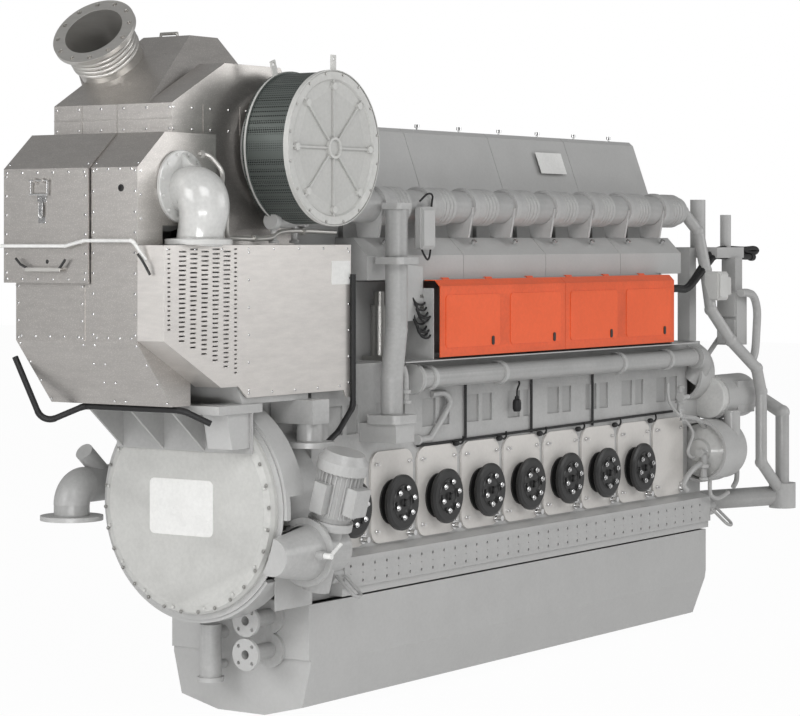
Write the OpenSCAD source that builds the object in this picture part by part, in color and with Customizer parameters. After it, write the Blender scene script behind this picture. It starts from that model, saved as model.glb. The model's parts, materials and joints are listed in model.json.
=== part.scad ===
// Nine-cylinder in-line marine diesel engine, modelled as separate pieces.
// The origin lies on the sump's flat bottom, under the crank axis, at the middle of the cylinder row.
// +X points to the free end, -X to the flywheel end, -Y to the operating side, +Z up.

/* [Engine] */
// Distance between neighbouring cylinder axes
pitch = 400; // [390:2:420]
// Cylinder bore
bore = 250; // [230:2:256]
// Piston stroke
stroke = 340; // [320:2:344]
// Height of the crank axis above the base
crank_z = 1005; // [1000:1:1020]
// Height of the sump's top flange above the base
sump_top = 540; // [500:5:560]
// Half width of the sump at its top
sump_half = 410; // [395:5:413]
// Half width of the crankcase wall
wall_half = 345; // [340:1:350]
// Half width over the mounting rails
rail_half = 430; // [420:2:450]
// Thickness of the sump's plates
sump_wall = 10; // [6:1:14]

/* [Flywheel end] */
// Radius of the round flywheel cover
cover_r = 496; // [480:2:500]
// Radius of the flywheel housing
housing_r = 540; // [530:2:560]
// Width of the flywheel cover's plate in the length direction
cover_depth = 60; // [40:5:70]
// Height of the front cladding box above the base, at its top
box_top_z = 2715; // [2700:5:2740]
// Sheet thickness of the cladding
sheet = 8; // [4:1:10]
// Radius of the intake filter drum
filter_r = 360; // [330:5:370]
// Length of the intake filter drum
filter_len = 260; // [220:5:270]
// Outer radius of the exhaust outlet's flange
outlet_r = 202; // [198:1:210]
// Bore radius of the exhaust outlet
outlet_bore_r = 142; // [130:1:144]
// Radius of the exhaust flange's bolt circle
outlet_pcr = 178; // [174:1:182]

/* [Side] */
// Width of a crankcase door
door_w = 360; // [330:5:370]
// Height of a crankcase door
door_h = 446; // [430:2:450]
// Radius of a relief valve cover
valve_r = 137; // [120:1:140]
// Outer radius of the manifold's flanges
manifold_r = 99; // [90:1:104]
// Radius of the horizontal coolant pipe
coolant_r = 50; // [40:1:54]
// Radius of the stand pipe
stand_r = 54; // [44:1:56]
// Height of an orange hot box cover's front panel
hot_h = 350; // [340:2:354]

/* [Mounting] */
// Distance between neighbouring rail holes
hole_pitch = 100; // [98:1:100]
// Distance between the two rows of rail holes
row_gap = 76; // [60:2:80]
// Radius of a rail hole
rail_hole_r = 8; // [6:0.5:9]
// Outer radius of a drain stub's flange
stub_flange_r = 75; // [72:1:78]
// Bore radius of a drain stub
stub_bore_r = 21.5; // [18:0.5:26]
// Radius of a drain stub's bolt circle
stub_pcr = 55; // [52:1:57]

/* [Hidden] */

// Shared values
$fn = 48;
over = 2;
seat_gap = 0.3;
run_gap = 0.05;
cyl_count = 9;
span = (cyl_count - 1) * pitch;
x_first = -span / 2;
x_last = span / 2;
function cyl_x(i) = x_first + i * pitch;

// Colours
paint = [0.66, 0.66, 0.65];
bright_sheet = [0.70, 0.69, 0.68];
orange = [0.89, 0.42, 0.27];
dark = [0.16, 0.16, 0.16];
steel = [0.75, 0.74, 0.73];

// Crankcase and cylinder block
bulkhead = 100;
block_x0 = x_first - pitch / 2 - bulkhead / 2;
block_x1 = x_last + pitch / 2 + bulkhead / 2;
cavity_half_less = 43;
cavity_half = wall_half - cavity_half_less;
shelf_rise = 635;
shelf_z = crank_z + shelf_rise;
deck_rise = 1025;
deck_z = crank_z + deck_rise;
hot_wall_y = 200;
deck_chamfer = 115;
deck_drop = 130;
cavity_rise = 305;
main_bore_r = 115;
cap_h = 190;
cap_half = 150;
liner_or = 160;
cam_y = 262;
cam_rise = 455;
cam_z = crank_z + cam_rise;
tunnel_r = 62;
door_drop = 20;
door_z = crank_z - door_drop;
valve_drop = 50;
valve_z = crank_z - valve_drop;
door_hole_less = 70;
door_hole_w = door_w - door_hole_less;
door_hole_h_less = 80;
door_hole_h = door_h - door_hole_h_less;
pocket_z0_rise = 300;
pocket_z0 = crank_z + pocket_z0_rise;
pocket_h = 140;
pocket_depth = 10;
pocket_w_share = 0.3;
pocket_small_share = 0.17;
pocket_step_share = 0.32;
lug_r = 42;
lug_len = 80;
lug_drop = 350;
lug_z = crank_z - lug_drop;

// Sump
sump_knee_z = 255;
sump_low_half = 362;
sump_low_z = 55;
sump_flat_half = 140;
sump_front = 343;
sump_rear = 360;
sump_x0 = x_first - sump_front;
sump_x1 = x_last + sump_rear;
sump_slope_z = 300;
sump_slope_x = 90;
sump_flange_w = 25;
sump_flange_h = 14;
panel_w = 190;
panel_h = 250;

// Mounting rails
rail_z0_rise = 10;
rail_z0 = sump_top + rail_z0_rise;
rail_front_z0_rise = 48;
rail_front_z0 = sump_top + rail_front_z0_rise;
rail_top_drop = 273;
rail_top_z = crank_z - rail_top_drop;
rail_slope = 22;
rail_step = 14;
rail_x0_ahead = 100;
rail_x0 = x_first - rail_x0_ahead;
rail_x1_along = 380;
rail_x1 = x_last + rail_x1_along;
rail_cols = 36;
row_low_drop = 391;
row_low_z = crank_z - row_low_drop;
rail_hole_depth = 45;
small_hole_r = 3.5;
small_hole_depth = 20;
rail_first_more = 100;
rail_first_x = -(rail_cols - 1) * hole_pitch / 2 + rail_first_more;

// Running gear
journal_r = main_bore_r - run_gap;
crank_r = stroke / 2;
pin_r = 95;
pin_len = 130;
web_t = 60;
web_half = 125;
weight_r = 285;
big_end_r = 124;
big_end_len_less = 10;
big_end_len = pin_len - big_end_len_less;
crank_step = 720 / cyl_count;
crank_flange_r = 160;
crank_flange_t = 40;
flywheel_w = 70;
ring_module = 10;
ring_teeth = 93;
ring_r = ring_teeth * ring_module / 2;
flywheel_less = 20;
flywheel_r = ring_r - flywheel_less;
housing_x0_ahead = 700;
housing_x0 = x_first - housing_x0_ahead;
flywheel_more = 50;
flywheel_x = housing_x0 + flywheel_more;
rod_foot_more = 20;
rod_foot_z = crank_z + crank_r + big_end_r + rod_foot_more;
rod_len = 660;
piston_pin_z = crank_z + crank_r + rod_len;
piston_pin_r = 50;
piston_h = 300;
piston_low = 120;
liner_gap = 0.4;
rod_half = 45;
rod_eye_r = 82;
rod_foot_half = 95;
rod_foot_t = 40;

// Gear train at the free end
gear_module = 5;
crank_teeth = 48;
idler_big = 64;
idler_small = 40;
cam_teeth = 60;
gear_w = 40;
gear_more = 12;
gear_x = block_x1 + gear_more;
gear2_more = 6;
gear2_x = gear_x + gear_w + gear2_more;
idler_reach = (crank_teeth + idler_big) * gear_module / 2;
cam_reach = (idler_small + cam_teeth) * gear_module / 2;
cam_dist = sqrt(cam_y * cam_y + cam_rise * cam_rise);
idler_turn = acos((idler_reach * idler_reach + cam_dist * cam_dist - cam_reach * cam_reach)
                  / (2 * idler_reach * cam_dist));
cam_angle = atan2(cam_rise, -cam_y);
idler_angle = cam_angle - idler_turn;
idler_y = idler_reach * cos(idler_angle);
idler_z = crank_z + idler_reach * sin(idler_angle);
cam_from_idler = atan2(cam_z - idler_z, -cam_y - idler_y);
idler_pin_r = 40;
pump_module = 6;
pump_drive_teeth = 96;
pump_teeth = 44;
pump_reach = (pump_drive_teeth + pump_teeth) * pump_module / 2;
gear3_more = 6;
gear3_x = gear2_x + gear_w + gear3_more;
gear3_w = 26;
case_x1_more = 30;
case_x1 = gear3_x + gear3_w + case_x1_more;
case_wall = 18;
pump_y = -pump_reach;
pump_z = crank_z;

// Cylinder heads, hood and manifold
duct_gap = 4;
head_w = 360;
head_y0 = -190;
head_y1 = 210;
head_h = 330;
head_top_z = deck_z + head_h;
hood_x0_ahead = 80;
hood_x0 = x_first - hood_x0_ahead;
hood_x1 = x_last + pitch / 2;
hood_front_y = -153;
hood_front_rise = 1395;
hood_front_z = crank_z + hood_front_rise;
hood_mid_y = -12;
hood_mid_rise = 1785;
hood_mid_z = crank_z + hood_mid_rise;
hood_top_rise = 1807;
hood_top_z = crank_z + hood_top_rise;
hood_back_y = 380;
hood_far_y = 430;
hood_round = 27;
hood_sheet = 6;
hood_gap = 4;
manifold_y = -330;
manifold_rise = 1398;
manifold_z = crank_z + manifold_rise;
sleeve_less = 6;
sleeve_r = manifold_r - sleeve_less;
neck_less = 17;
neck_r = manifold_r - neck_less;
ring_r_out_less = 8;
ring_r_out = manifold_r - ring_r_out_less;
sleeve_len = 110;
ring_len = 130;
ring_count = 4;
flange_shift = 154;
duct_r = 68;
manifold_end = 120;

// Valve gear cover and hot box
vgc_y = -383;
vgc_top_y = -297;
vgc_back_y = -190.3;
vgc_low_rise = 1037;
vgc_low_z = crank_z + vgc_low_rise;
vgc_mid_rise = 1155;
vgc_mid_z = crank_z + vgc_mid_rise;
vgc_top_rise = 1243;
vgc_top_z = crank_z + vgc_top_rise;
vgc_x0_along = 150;
vgc_x0 = x_first + vgc_x0_along;
vgc_x1_along = 105;
vgc_x1 = x_last + vgc_x1_along;
vgc_sheet = 6;
hot_y = -505;
hot_low_rise = 653;
hot_low_z = crank_z + hot_low_rise;
hot_chamfer = 31;
hot_rear_y = -398;
hot_x0 = x_first + pitch * 1.5;
hot_sec = 3 * pitch;
hot_sheet = 4;
hot_gap = 3;
hinge_z = hot_low_z + hot_h + hot_chamfer;
hinge_rod_r = 5;
panel_share = 0.41;
latch_rx = 9;
latch_h = 46;
latch_drop = 70;
latch_in = 70;
hot_panel_w = 500;
hot_panel_h = 262;
hot_panel_t = 3;
tray_t = 6;

// Pipes on the side
coolant_y = -425;
coolant_rise = 550;
coolant_z = crank_z + coolant_rise;
coolant_x0_along = 490;
coolant_x0 = x_first + coolant_x0_along;
coolant_x1_along = 190;
coolant_x1 = x_last + coolant_x1_along;
clamp_w = 26;
clamp_t = 12;
stand_y = -488;
stand_low_along = 218;
stand_low_x = x_first + stand_low_along;
stand_low_y = -480;
stand_z0_rise = 370;
stand_z0 = crank_z + stand_z0_rise;
stand_z1_rise = 1390;
stand_z1 = crank_z + stand_z1_rise;
stand_box_h = 90;
stand_knee_more = 190;
stand_knee_z = stand_z0 + stand_knee_more;
stand_bend_more = 430;
stand_bend_z = stand_z0 + stand_bend_more;
pipe_wall = 5;

// Relief valves and doors
door_t = 12;
door_corner = 70;
valve_face = 28;
valve_count = cyl_count - 1;
valve_plate_r = 112;
valve_plate_t = 8;
valve_travel = 12;
valve_stud_r = 6;
valve_pcr = 73;
valve_open_r = 60;
stud_r = 7;
plug_r = 14;

// Turbochargers
lp_ahead = 361;
lp_x = x_first - lp_ahead;
lp_rise = 1656;
lp_z = crank_z + lp_rise;
filter_y = -560;
filter_rim = 22;
filter_cover_t = 26;
lp_comp_r = 270;
comp_rim = 20;
lp_neck_r = 140;
lp_turb_r = 155;
lp_bore_r = 150;
lp_comp_y0 = filter_y + filter_len + seat_gap;
lp_comp_y1 = -60;
lp_turb_y0 = -60;
lp_turb_y1 = 260;
shaft_r = 35;
wheel_r = 110;
high_ahead = 1104;
high_x = x_first - high_ahead;
high_rise = 1470;
high_z = crank_z + high_rise;
high_comp_y0 = -246;
high_comp_y1 = -80;
high_turb_y1 = 160;
high_comp_r = 200;
high_turb_r = 190;
high_bore_r = 100;
high_shaft_r = 26;
high_wheel_r = 88;
foot_x0 = 80;
foot_x1 = 170;
high_foot_y0 = -60;
high_foot_y1 = 100;

// Front cladding box, top cladding and exhaust outlet
table_z0_rise = 450;
table_z0 = crank_z + table_z0_rise;
table_t = 40;
cooler_z0 = table_z0 + table_t + seat_gap;
cooler_z1_rise = 1209;
cooler_z1 = crank_z + cooler_z1_rise;
box_x0_ahead = 1397;
box_x0 = x_first - box_x0_ahead;
box_x1_ahead = 848;
box_x1 = x_first - box_x1_ahead;
box_y0 = -250;
box_seam_y = 20;
box_step_y = 53;
box_y1 = 462;
box_far_y = 524;
box_front_rise = 1551;
box_front_z = crank_z + box_front_rise;
box_roof_ahead = 1210;
box_roof_x = x_first - box_roof_ahead;
box_mid_rise = 1039;
box_mid_z = crank_z + box_mid_rise;
box_low_rise = 781;
box_low_z = crank_z + box_low_rise;
box_base_z = table_z0 + table_t + seat_gap;
box_base_ahead = 1160;
box_base_x = x_first - box_base_ahead;
top_x0_ahead = 1100;
top_x0 = x_first - top_x0_ahead;
top_x1_ahead = 150;
top_x1 = x_first - top_x1_ahead;
top_base_rise = 1710;
top_base_z = crank_z + top_base_rise;
top_band_rise = 1846;
top_band_z = crank_z + top_band_rise;
top_y0 = -200;
top_mid_y = -60;
top_y1 = 500;
ridge_x0_ahead = 654;
ridge_x0 = x_first - ridge_x0_ahead;
ridge_x1_ahead = 447;
ridge_x1 = x_first - ridge_x1_ahead;
ridge_y0 = 60;
ridge_y1 = 340;
ridge_rise = 2185;
ridge_z = crank_z + ridge_rise;
low_ridge_x0_ahead = 720;
low_ridge_x0 = x_first - low_ridge_x0_ahead;
low_ridge_x1_ahead = 300;
low_ridge_x1 = x_first - low_ridge_x1_ahead;
low_ridge_rise = 2042;
low_ridge_z = crank_z + low_ridge_rise;
side_low_z = cooler_z1 + seat_gap;
side_x0 = box_x1;
out_ahead = 998;
out_x = x_first - out_ahead;
out_y = 350;
out_rise = 2195;
out_z = crank_z + out_rise;
out_tilt = 49;
out_yaw = 10;
out_flange_t = 22;
bellows_len = 125;
bellows_count = 5;
bellows_r = 168;
sleeve_out_r = 156;
out_sleeve_len = 80;
out_tail = 70;
cone_top_r = 172;
cone_low_r = 215;
cone_len = 230;
out_wall = 8;

// Heat shield, cooler and elbow
shield_y = -400;
shield_x0 = box_x0;
shield_x1_ahead = 7;
shield_x1 = x_first - shield_x1_ahead;
shield_top_z = cooler_z1;
shield_low_rise = 520;
shield_low_z = crank_z + shield_low_rise;
shield_left_rise = 800;
shield_left_z = crank_z + shield_left_rise;
shield_cut_ahead = 886;
shield_cut_x = x_first - shield_cut_ahead;
shield_cut_rise = 582;
shield_cut_z = crank_z + shield_cut_rise;
shield_foot_ahead = 810;
shield_foot_x = x_first - shield_foot_ahead;
shield_return = box_y0 - shield_y - seat_gap;
shield_floor_ahead = 1000;
shield_floor_x = x_first - shield_floor_ahead;
slot_cols = 7;
slot_rows = 30;
slot_step = 20.5;
slot_h = 7;
slot_w = 40;
slot_col_step = 78;
cooler_x0_ahead = 1030;
cooler_x0 = x_first - cooler_x0_ahead;
cooler_x1_ahead = 330;
cooler_x1 = x_first - cooler_x1_ahead;
cooler_y0 = -385;
cooler_y1 = 380;
cooler_wall = 15;
cover_ahead = 760;
cover_x = x_first - cover_ahead;
apron_t = 8;
cooler_low_ahead = 880;
cooler_low_x = x_first - cooler_low_ahead;
cooler_cut = 105;
plenum_h = 90;
hopper_rise = 290;
hopper_z = crank_z + hopper_rise;
hopper_x0_ahead = 947;
hopper_x0 = x_first - hopper_x0_ahead;
hopper_x1 = cover_x - 2 * apron_t;
hopper_low_x1 = hopper_x1;
hopper_w = 140;
column_ahead = 370;
column_x = x_first - column_ahead;
column_less = 40;
column_y = cooler_y0 - column_less;
column_half = 64;
column_h = 110;
column_z0_rise = 271;
column_z0 = crank_z + column_z0_rise;
column_r = 62;
column_flange_r = 114;
column_flange_t = 26;
elbow_flange_r = 163;
elbow_r = 100;
elbow_reach = 104;
elbow_low_z = cooler_z1 + seat_gap;
elbow_low_r = 152;
elbow_low_t = 78;
elbow_flange_t = 18;

// Flywheel housing, bracket and cover
housing_wall = 20;
table_x0_ahead = 1016;
table_x0 = x_first - table_x0_ahead;
table_half = 400;
apron_low = 263;
gusset_t = 12;
gusset_ys = [-127, 115, 360];
window_z0 = -100;
window_h = 170;
window_w = 110;
cover_lip_r = 40;

// Turning gear
pinion_teeth = 18;
pinion_r = pinion_teeth * ring_module / 2;
pinion_dist = ring_r + pinion_r;
pinion_drop = 20.5;
pinion_y = -pinion_dist * cos(pinion_drop);
pinion_z = crank_z - pinion_dist * sin(pinion_drop);
pinion_w = 44;
ring_w = 50;
pinion_park = 66;
pinion_shaft_r = 25;
bell_x0_ahead = 790;
bell_x0 = x_first - bell_x0_ahead;
bell_x1_ahead = 530;
bell_x1 = x_first - bell_x1_ahead;
bell_r0 = 86;
bell_r1 = 158;
bell_wall = 8;
worm_ahead = 415;
worm_x = x_first - worm_ahead;
worm_tilt = 15;
gearbox_r = 66;
gearbox_low = 190;
gearbox_up = 133;
gear_drum_r = 110;
motor_r = 98;
motor_len = 210;
motor_low = 120;
fin_count = 28;
fin_h = 16;
fin_t = 5;
cowl_len = 90;
cowl_r = 118;
motor_flange_r = 105;
motor_flange_t = 18;
rotor_r = 20;
lever_r = 9;
lever_len = 95;
lever_ahead = 600;
lever_x = x_first - lever_ahead;

// Connections
stub_len = 200;
stub_base_r = 82;
stub_t = 18;
stub_pipe_r = 38;
stub_y = -190;
stub_z = 472;
stub_step = 157;
stub_hole_r = 9;
pot_ahead = 460;
pot_x = x_first - pot_ahead;
pot_y = 90;
pot_r = 52;
pot_h = 250;
pot_z0 = 175;
outlet_elbow_ahead = 760;
outlet_elbow_x = x_first - outlet_elbow_ahead;
outlet_foot_ahead = 400;
outlet_foot_x = x_first - outlet_foot_ahead;
outlet_elbow_y = 695;
outlet_elbow_drop = 20;
outlet_elbow_z = crank_z - outlet_elbow_drop;
outlet_pipe_r = 85;
outlet_flange2_r = 150;
outlet_flange2_t = 22;

// Free end machinery
volute_x = case_x1;
volute_r = 175;
volute_w = 120;
canister_x0_along = 20;
canister_x0 = case_x1 + canister_x0_along;
canister_x1_along = 380;
canister_x1 = case_x1 + canister_x1_along;
canister_y = -405;
canister_rise = 303;
canister_z = crank_z + canister_rise;
canister_r = 130;
thermo_x0_ahead = 20;
thermo_x0 = case_x1 - thermo_x0_ahead;
thermo_x1_along = 320;
thermo_x1 = case_x1 + thermo_x1_along;
thermo_y0 = -470;
thermo_y1 = -150;
thermo_z0_rise = 1125;
thermo_z0 = crank_z + thermo_z0_rise;
thermo_z1_rise = 1188;
thermo_z1 = crank_z + thermo_z1_rise;
block2_x0_along = 130;
block2_x0 = case_x1 + block2_x0_along;
block2_x1_along = 260;
block2_x1 = case_x1 + block2_x1_along;
block2_y0 = -520;
block2_y1 = -390;
block2_z0_rise = 610;
block2_z0 = crank_z + block2_z0_rise;
block2_z1_rise = 930;
block2_z1 = crank_z + block2_z1_rise;
riser1_along = 50;
riser1_x = case_x1 + riser1_along;
riser1_y = -304;
riser1_r = 45;
riser1_rise = 1469;
riser1_z = crank_z + riser1_rise;
riser2_along = 200;
riser2_x = case_x1 + riser2_along;
riser2_y = -410;
riser2_r = 32;
riser2_rise = 1380;
riser2_z = crank_z + riser2_rise;
down_r = 34;
return_r = 41;
return_drop = 110;
lower_pipe_r = 58;
lower_bend = 100;
lower_pipe_x = 640;
lower_pipe_y = -235;
lower_pipe_drop = 330;
lower_pipe_z = crank_z - lower_pipe_drop;

// Helper shapes
module along_x(x, length) translate([x, 0, 0]) rotate([90, 0, 90]) linear_extrude(length) children();
module along_y(y, length) translate([0, y + length, 0]) rotate([90, 0, 0]) linear_extrude(length) children();
module rod_x(x, y, z, r, length) translate([x, y, z]) rotate([0, 90, 0]) cylinder(r = r, h = length);
module rod_y(x, y, z, r, length) translate([x, y, z]) rotate([-90, 0, 0]) cylinder(r = r, h = length);
module rod_z(x, y, z, r, length) translate([x, y, z]) cylinder(r = r, h = length);
module box(x0, x1, y0, y1, z0, z1) translate([x0, y0, z0]) cube([x1 - x0, y1 - y0, z1 - z0]);
module turned_x(x, y, z) translate([x, y, z]) rotate([0, 90, 0]) rotate_extrude() children();
module turned_y(x, y, z) translate([x, y, z]) rotate([-90, 0, 0]) rotate_extrude() children();
module rounded(w, h, r) {
    square([w - 2 * r, h], center = true);
    square([w, h - 2 * r], center = true);
    for (i = [-1, 1], j = [-1, 1]) translate([i * (w / 2 - r), j * (h / 2 - r)]) circle(r = r);
}

// A toothed wheel with straight-sided teeth; tooth number 0 points along the given angle
tooth_root_share = 0.52;
tooth_tip_share = 0.24;
tooth_out_share = 0.8;
tooth_in_share = 1.15;
module gear_outline(teeth, m, at) {
    pr = teeth * m / 2;
    ro = pr + tooth_out_share * m;
    ri = pr - tooth_in_share * m;
    step = 360 / teeth;
    polygon([for (k = [0 : teeth - 1], s = [0 : 3])
        let (a = at + step * (k + [-tooth_root_share, -tooth_tip_share, tooth_tip_share, tooth_root_share][s] / 2),
             r = (s == 0 || s == 3) ? ri : ro)
        [r * cos(a), r * sin(a)]]);
}
module gear_x(x, y, z, teeth, m, at, w) translate([x, y, z]) rotate([90, 0, 90]) linear_extrude(w)
    gear_outline(teeth, m, at);

// Round pipe through a list of points, with slightly thicker elbows of radius bend
elbow_lip = 1.2;
function unit(v) = v / norm(v);
function turn_of(a, b) = acos(max(-1, min(1, unit(a) * unit(b))));
module run(a, b, r) translate(a)
    rotate([0, acos(unit(b - a)[2]), atan2(b[1] - a[1], b[0] - a[0])]) cylinder(r = r, h = norm(b - a));
module corner(p, a, b, r, bend) {
    t = turn_of(a, b);
    n = unit(cross(unit(a), unit(b)));
    e = cross(unit(a), n);
    c = p - unit(a) * bend * tan(t / 2) - e * bend;
    m = [for (k = [0 : 2]) [e[k], unit(a)[k], n[k], c[k]]];
    multmatrix([m[0], m[1], m[2], [0, 0, 0, 1]])
        rotate_extrude(angle = t) translate([bend, 0]) circle(r = r + elbow_lip);
}
module pipe(pts, r, bend) {
    last = len(pts) - 1;
    cut = [for (i = [0 : last]) (i == 0 || i == last) ? 0
        : bend * tan(turn_of(pts[i] - pts[i - 1], pts[i + 1] - pts[i]) / 2) - elbow_lip];
    for (i = [0 : last - 1]) let (d = unit(pts[i + 1] - pts[i])) run(pts[i] + d * cut[i], pts[i + 1] - d * cut[i + 1], r);
    for (i = [1 : 1 : last - 1]) corner(pts[i], pts[i] - pts[i - 1], pts[i + 1] - pts[i], r, bend);
}

knee_lip = 4;
module knee_pipe(pts, r) {
    last = len(pts) - 1;
    for (i = [0 : last - 1]) run(pts[i], pts[i + 1], r);
    for (i = [1 : 1 : last - 1]) translate(pts[i]) sphere(r = r + knee_lip);
}

// Block: hollow crankcase below, cylinder body above, recess for the hot box on the near side
module block_outline() polygon([
    [-wall_half, sump_top], [wall_half, sump_top], [wall_half, deck_z - deck_drop],
    [wall_half - deck_chamfer, deck_z], [-hot_wall_y, deck_z], [-hot_wall_y, shelf_z],
    [-wall_half, shelf_z]]);
module door_holes() for (i = [0 : cyl_count - 1], s = [-1, 1])
    translate([cyl_x(i), s * wall_half, door_z]) rotate([90, 0, 0])
        linear_extrude(2 * (wall_half - cavity_half) + over, center = true)
            rounded(door_hole_w, door_hole_h, door_corner / 2);
module pockets() for (i = [0 : cyl_count - 1]) {
    box(cyl_x(i) - pitch * pocket_w_share, cyl_x(i), -wall_half - over, -wall_half + pocket_depth,
        pocket_z0, pocket_z0 + pocket_h);
    box(cyl_x(i) + pitch * pocket_small_share / 2, cyl_x(i) + pitch * pocket_step_share,
        -wall_half - over, -wall_half + pocket_depth, pocket_z0, pocket_z0 + pocket_h);
}
module engine_block() color(paint) union() {
    difference() {
        along_x(block_x0, block_x1 - block_x0) block_outline();
        box(block_x0 - over, block_x1 + over, -cavity_half, cavity_half, sump_top - over, crank_z);
        for (i = [0 : cyl_count - 1])
            box(cyl_x(i) - pitch / 2 + bulkhead / 2, cyl_x(i) + pitch / 2 - bulkhead / 2,
                -cavity_half, cavity_half, crank_z - over, crank_z + cavity_rise);
        for (i = [0 : cyl_count - 1]) rod_z(cyl_x(i), 0, crank_z, liner_or + liner_gap, deck_z);
        rod_x(block_x0 - over, 0, crank_z, main_bore_r, block_x1 - block_x0 + 2 * over);
        rod_x(block_x0 + bulkhead / 4, -cam_y, cam_z, tunnel_r, block_x1 - block_x0);
        door_holes();
        pockets();
    }
    rod_x(block_x1 - over, idler_y, idler_z, idler_pin_r, gear2_x + gear_w - block_x1 + over);
    for (s = [-1, 1]) {
        rod_x(rail_x0 - lug_len - seat_gap, s * (wall_half + lug_r), lug_z, lug_r, lug_len);
        box(rail_x0 - lug_len - seat_gap, rail_x0 - seat_gap, s * wall_half - lug_r, s * wall_half + lug_r,
            lug_z - lug_r, lug_z + lug_r);
    }
}

module sump_outline(t) polygon([
    [-sump_half + t, sump_top + (t > 0 ? over : 0)], [-sump_half + t, sump_knee_z], [-sump_low_half + t, sump_low_z + t / 2],
    [-sump_flat_half + t / 2, t], [sump_flat_half - t / 2, t], [sump_low_half - t, sump_low_z + t / 2],
    [sump_half - t, sump_knee_z], [sump_half - t, sump_top + (t > 0 ? over : 0)]]);
module sump_side(t) polygon([
    [sump_x0 + t, -over], [sump_x1 - sump_slope_x - t, -over], [sump_x1 - t, sump_slope_z],
    [sump_x1 - t, sump_top + 2 * over], [sump_x0 + t, sump_top + 2 * over]]);
module sump_body(t) intersection() {
    along_x(sump_x0 + t, sump_x1 - sump_x0 - 2 * t) sump_outline(t);
    along_y(-sump_half - over, 2 * (sump_half + over)) sump_side(t);
}
module oil_sump() color(paint) difference() {
    union() {
        sump_body(0);
        box(sump_x0 - sump_flange_h, sump_x0 + sump_flange_w, -sump_half, sump_half,
            sump_knee_z + sump_flange_w, sump_top);
    }
    sump_body(sump_wall);
    for (i = [0, 1]) rod_x(sump_x0 - stub_len, stub_y, stub_z - i * stub_step, stub_bore_r, 2 * stub_len);
}

module rail_outline() polygon([
    [-wall_half - seat_gap, rail_z0], [-rail_half + rail_step, rail_z0], [-rail_half + rail_step, rail_front_z0],
    [-rail_half, rail_front_z0], [-rail_half, rail_top_z], [-wall_half - seat_gap, rail_top_z + rail_slope]]);
module near_rail() difference() {
    along_x(rail_x0, rail_x1 - rail_x0) rail_outline();
    for (i = [0 : rail_cols - 1]) {
        rod_y(rail_first_x + i * hole_pitch, -rail_half - over, row_low_z, rail_hole_r, rail_hole_depth + over);
        rod_y(rail_first_x + i * hole_pitch, -rail_half - over, row_low_z + row_gap, rail_hole_r,
              rail_hole_depth + over);
        rod_y(rail_first_x + i * hole_pitch, -rail_half - over, row_low_z + row_gap / 2, small_hole_r,
              small_hole_depth + over);
    }
}
module mounting_rails() color(paint) {
    near_rail();
    mirror([0, 1, 0]) near_rail();
}

// U-shaped lashing loops held in the lugs at the block's corners
loop_r = 9;
loop_half = 30;
loop_len = 110;
loop_fall = 40;
module lashing_loop(x, y) translate([x, y, lug_z]) rotate([loop_fall, 0, 0]) {
    for (s = [-1, 1]) translate([s * loop_half, 0, 0]) rotate([90, 0, 0]) cylinder(r = loop_r, h = loop_len);
    translate([0, -loop_len, 0]) rotate([0, 0, 180]) rotate_extrude(angle = 180)
        translate([loop_half, 0]) circle(r = loop_r);
}
loop_seat_more = 6;
loop_seat = wall_half + 2 * lug_r + loop_seat_more;
rear_lug_x = rail_x1 + lug_len / 2;
module lashing_loops() color(paint) for (m = [0, 1]) mirror([0, m, 0]) {
    lashing_loop(rail_x0 - lug_len / 2, -loop_seat);
    lashing_loop(rear_lug_x, -loop_seat);
}

module main_bearing_caps() color(paint) for (j = [0 : cyl_count]) difference() {
    box(x_first - pitch / 2 + j * pitch - bulkhead / 2, x_first - pitch / 2 + j * pitch + bulkhead / 2,
        -cap_half, cap_half, crank_z - cap_h, crank_z);
    rod_x(x_first - pitch + j * pitch, 0, crank_z, main_bore_r, pitch);
}

// Crank angle of each throw, spread evenly in firing steps
firing = [0, 4, 7, 2, 5, 8, 1, 3, 6];
function throw_angle(i) = firing[i] * crank_step;
module crank_web(x, a) translate([x, 0, crank_z]) rotate([a, 0, 0]) {
    box(0, web_t, -web_half, web_half, -web_half, crank_r + pin_r);
    intersection() {
        rotate([0, 90, 0]) cylinder(r = weight_r, h = web_t);
        box(-over, web_t + over, -weight_r, weight_r, -weight_r, -web_half + over);
    }
}
module crankshaft() color(steel) {
    for (j = [0 : cyl_count])
        rod_x(x_first - pitch / 2 + j * pitch - bulkhead / 2 - over, 0, crank_z, journal_r, bulkhead + 2 * over);
    for (i = [0 : cyl_count - 1]) {
        crank_web(cyl_x(i) - pin_len / 2 - web_t, throw_angle(i));
        crank_web(cyl_x(i) + pin_len / 2, throw_angle(i));
        translate([cyl_x(i) - pin_len / 2 - over, 0, crank_z]) rotate([throw_angle(i), 0, 0])
            translate([0, 0, crank_r]) rotate([0, 90, 0]) cylinder(r = pin_r, h = pin_len + 2 * over);
        for (s = [-1, 1]) translate([cyl_x(i) + s * (pin_len / 2 + web_t), 0, crank_z]) rotate([0, s * 90, 0])
            cylinder(r = journal_r, h = pitch / 2 - pin_len / 2 - web_t);
    }
    rod_x(flywheel_x + flywheel_w, 0, crank_z, crank_flange_r, crank_flange_t);
    rod_x(flywheel_x + flywheel_w + crank_flange_t - over, 0, crank_z, journal_r,
          block_x0 - flywheel_x - flywheel_w - crank_flange_t + 2 * over);
    rod_x(block_x1 - over, 0, crank_z, journal_r / 2, case_x1 - block_x1 - case_wall - over);
    gear_x(gear_x, 0, crank_z, crank_teeth, gear_module, idler_angle, gear_w);
    gear_x(gear3_x, 0, crank_z, pump_drive_teeth, pump_module, 180, gear3_w);
}
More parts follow.
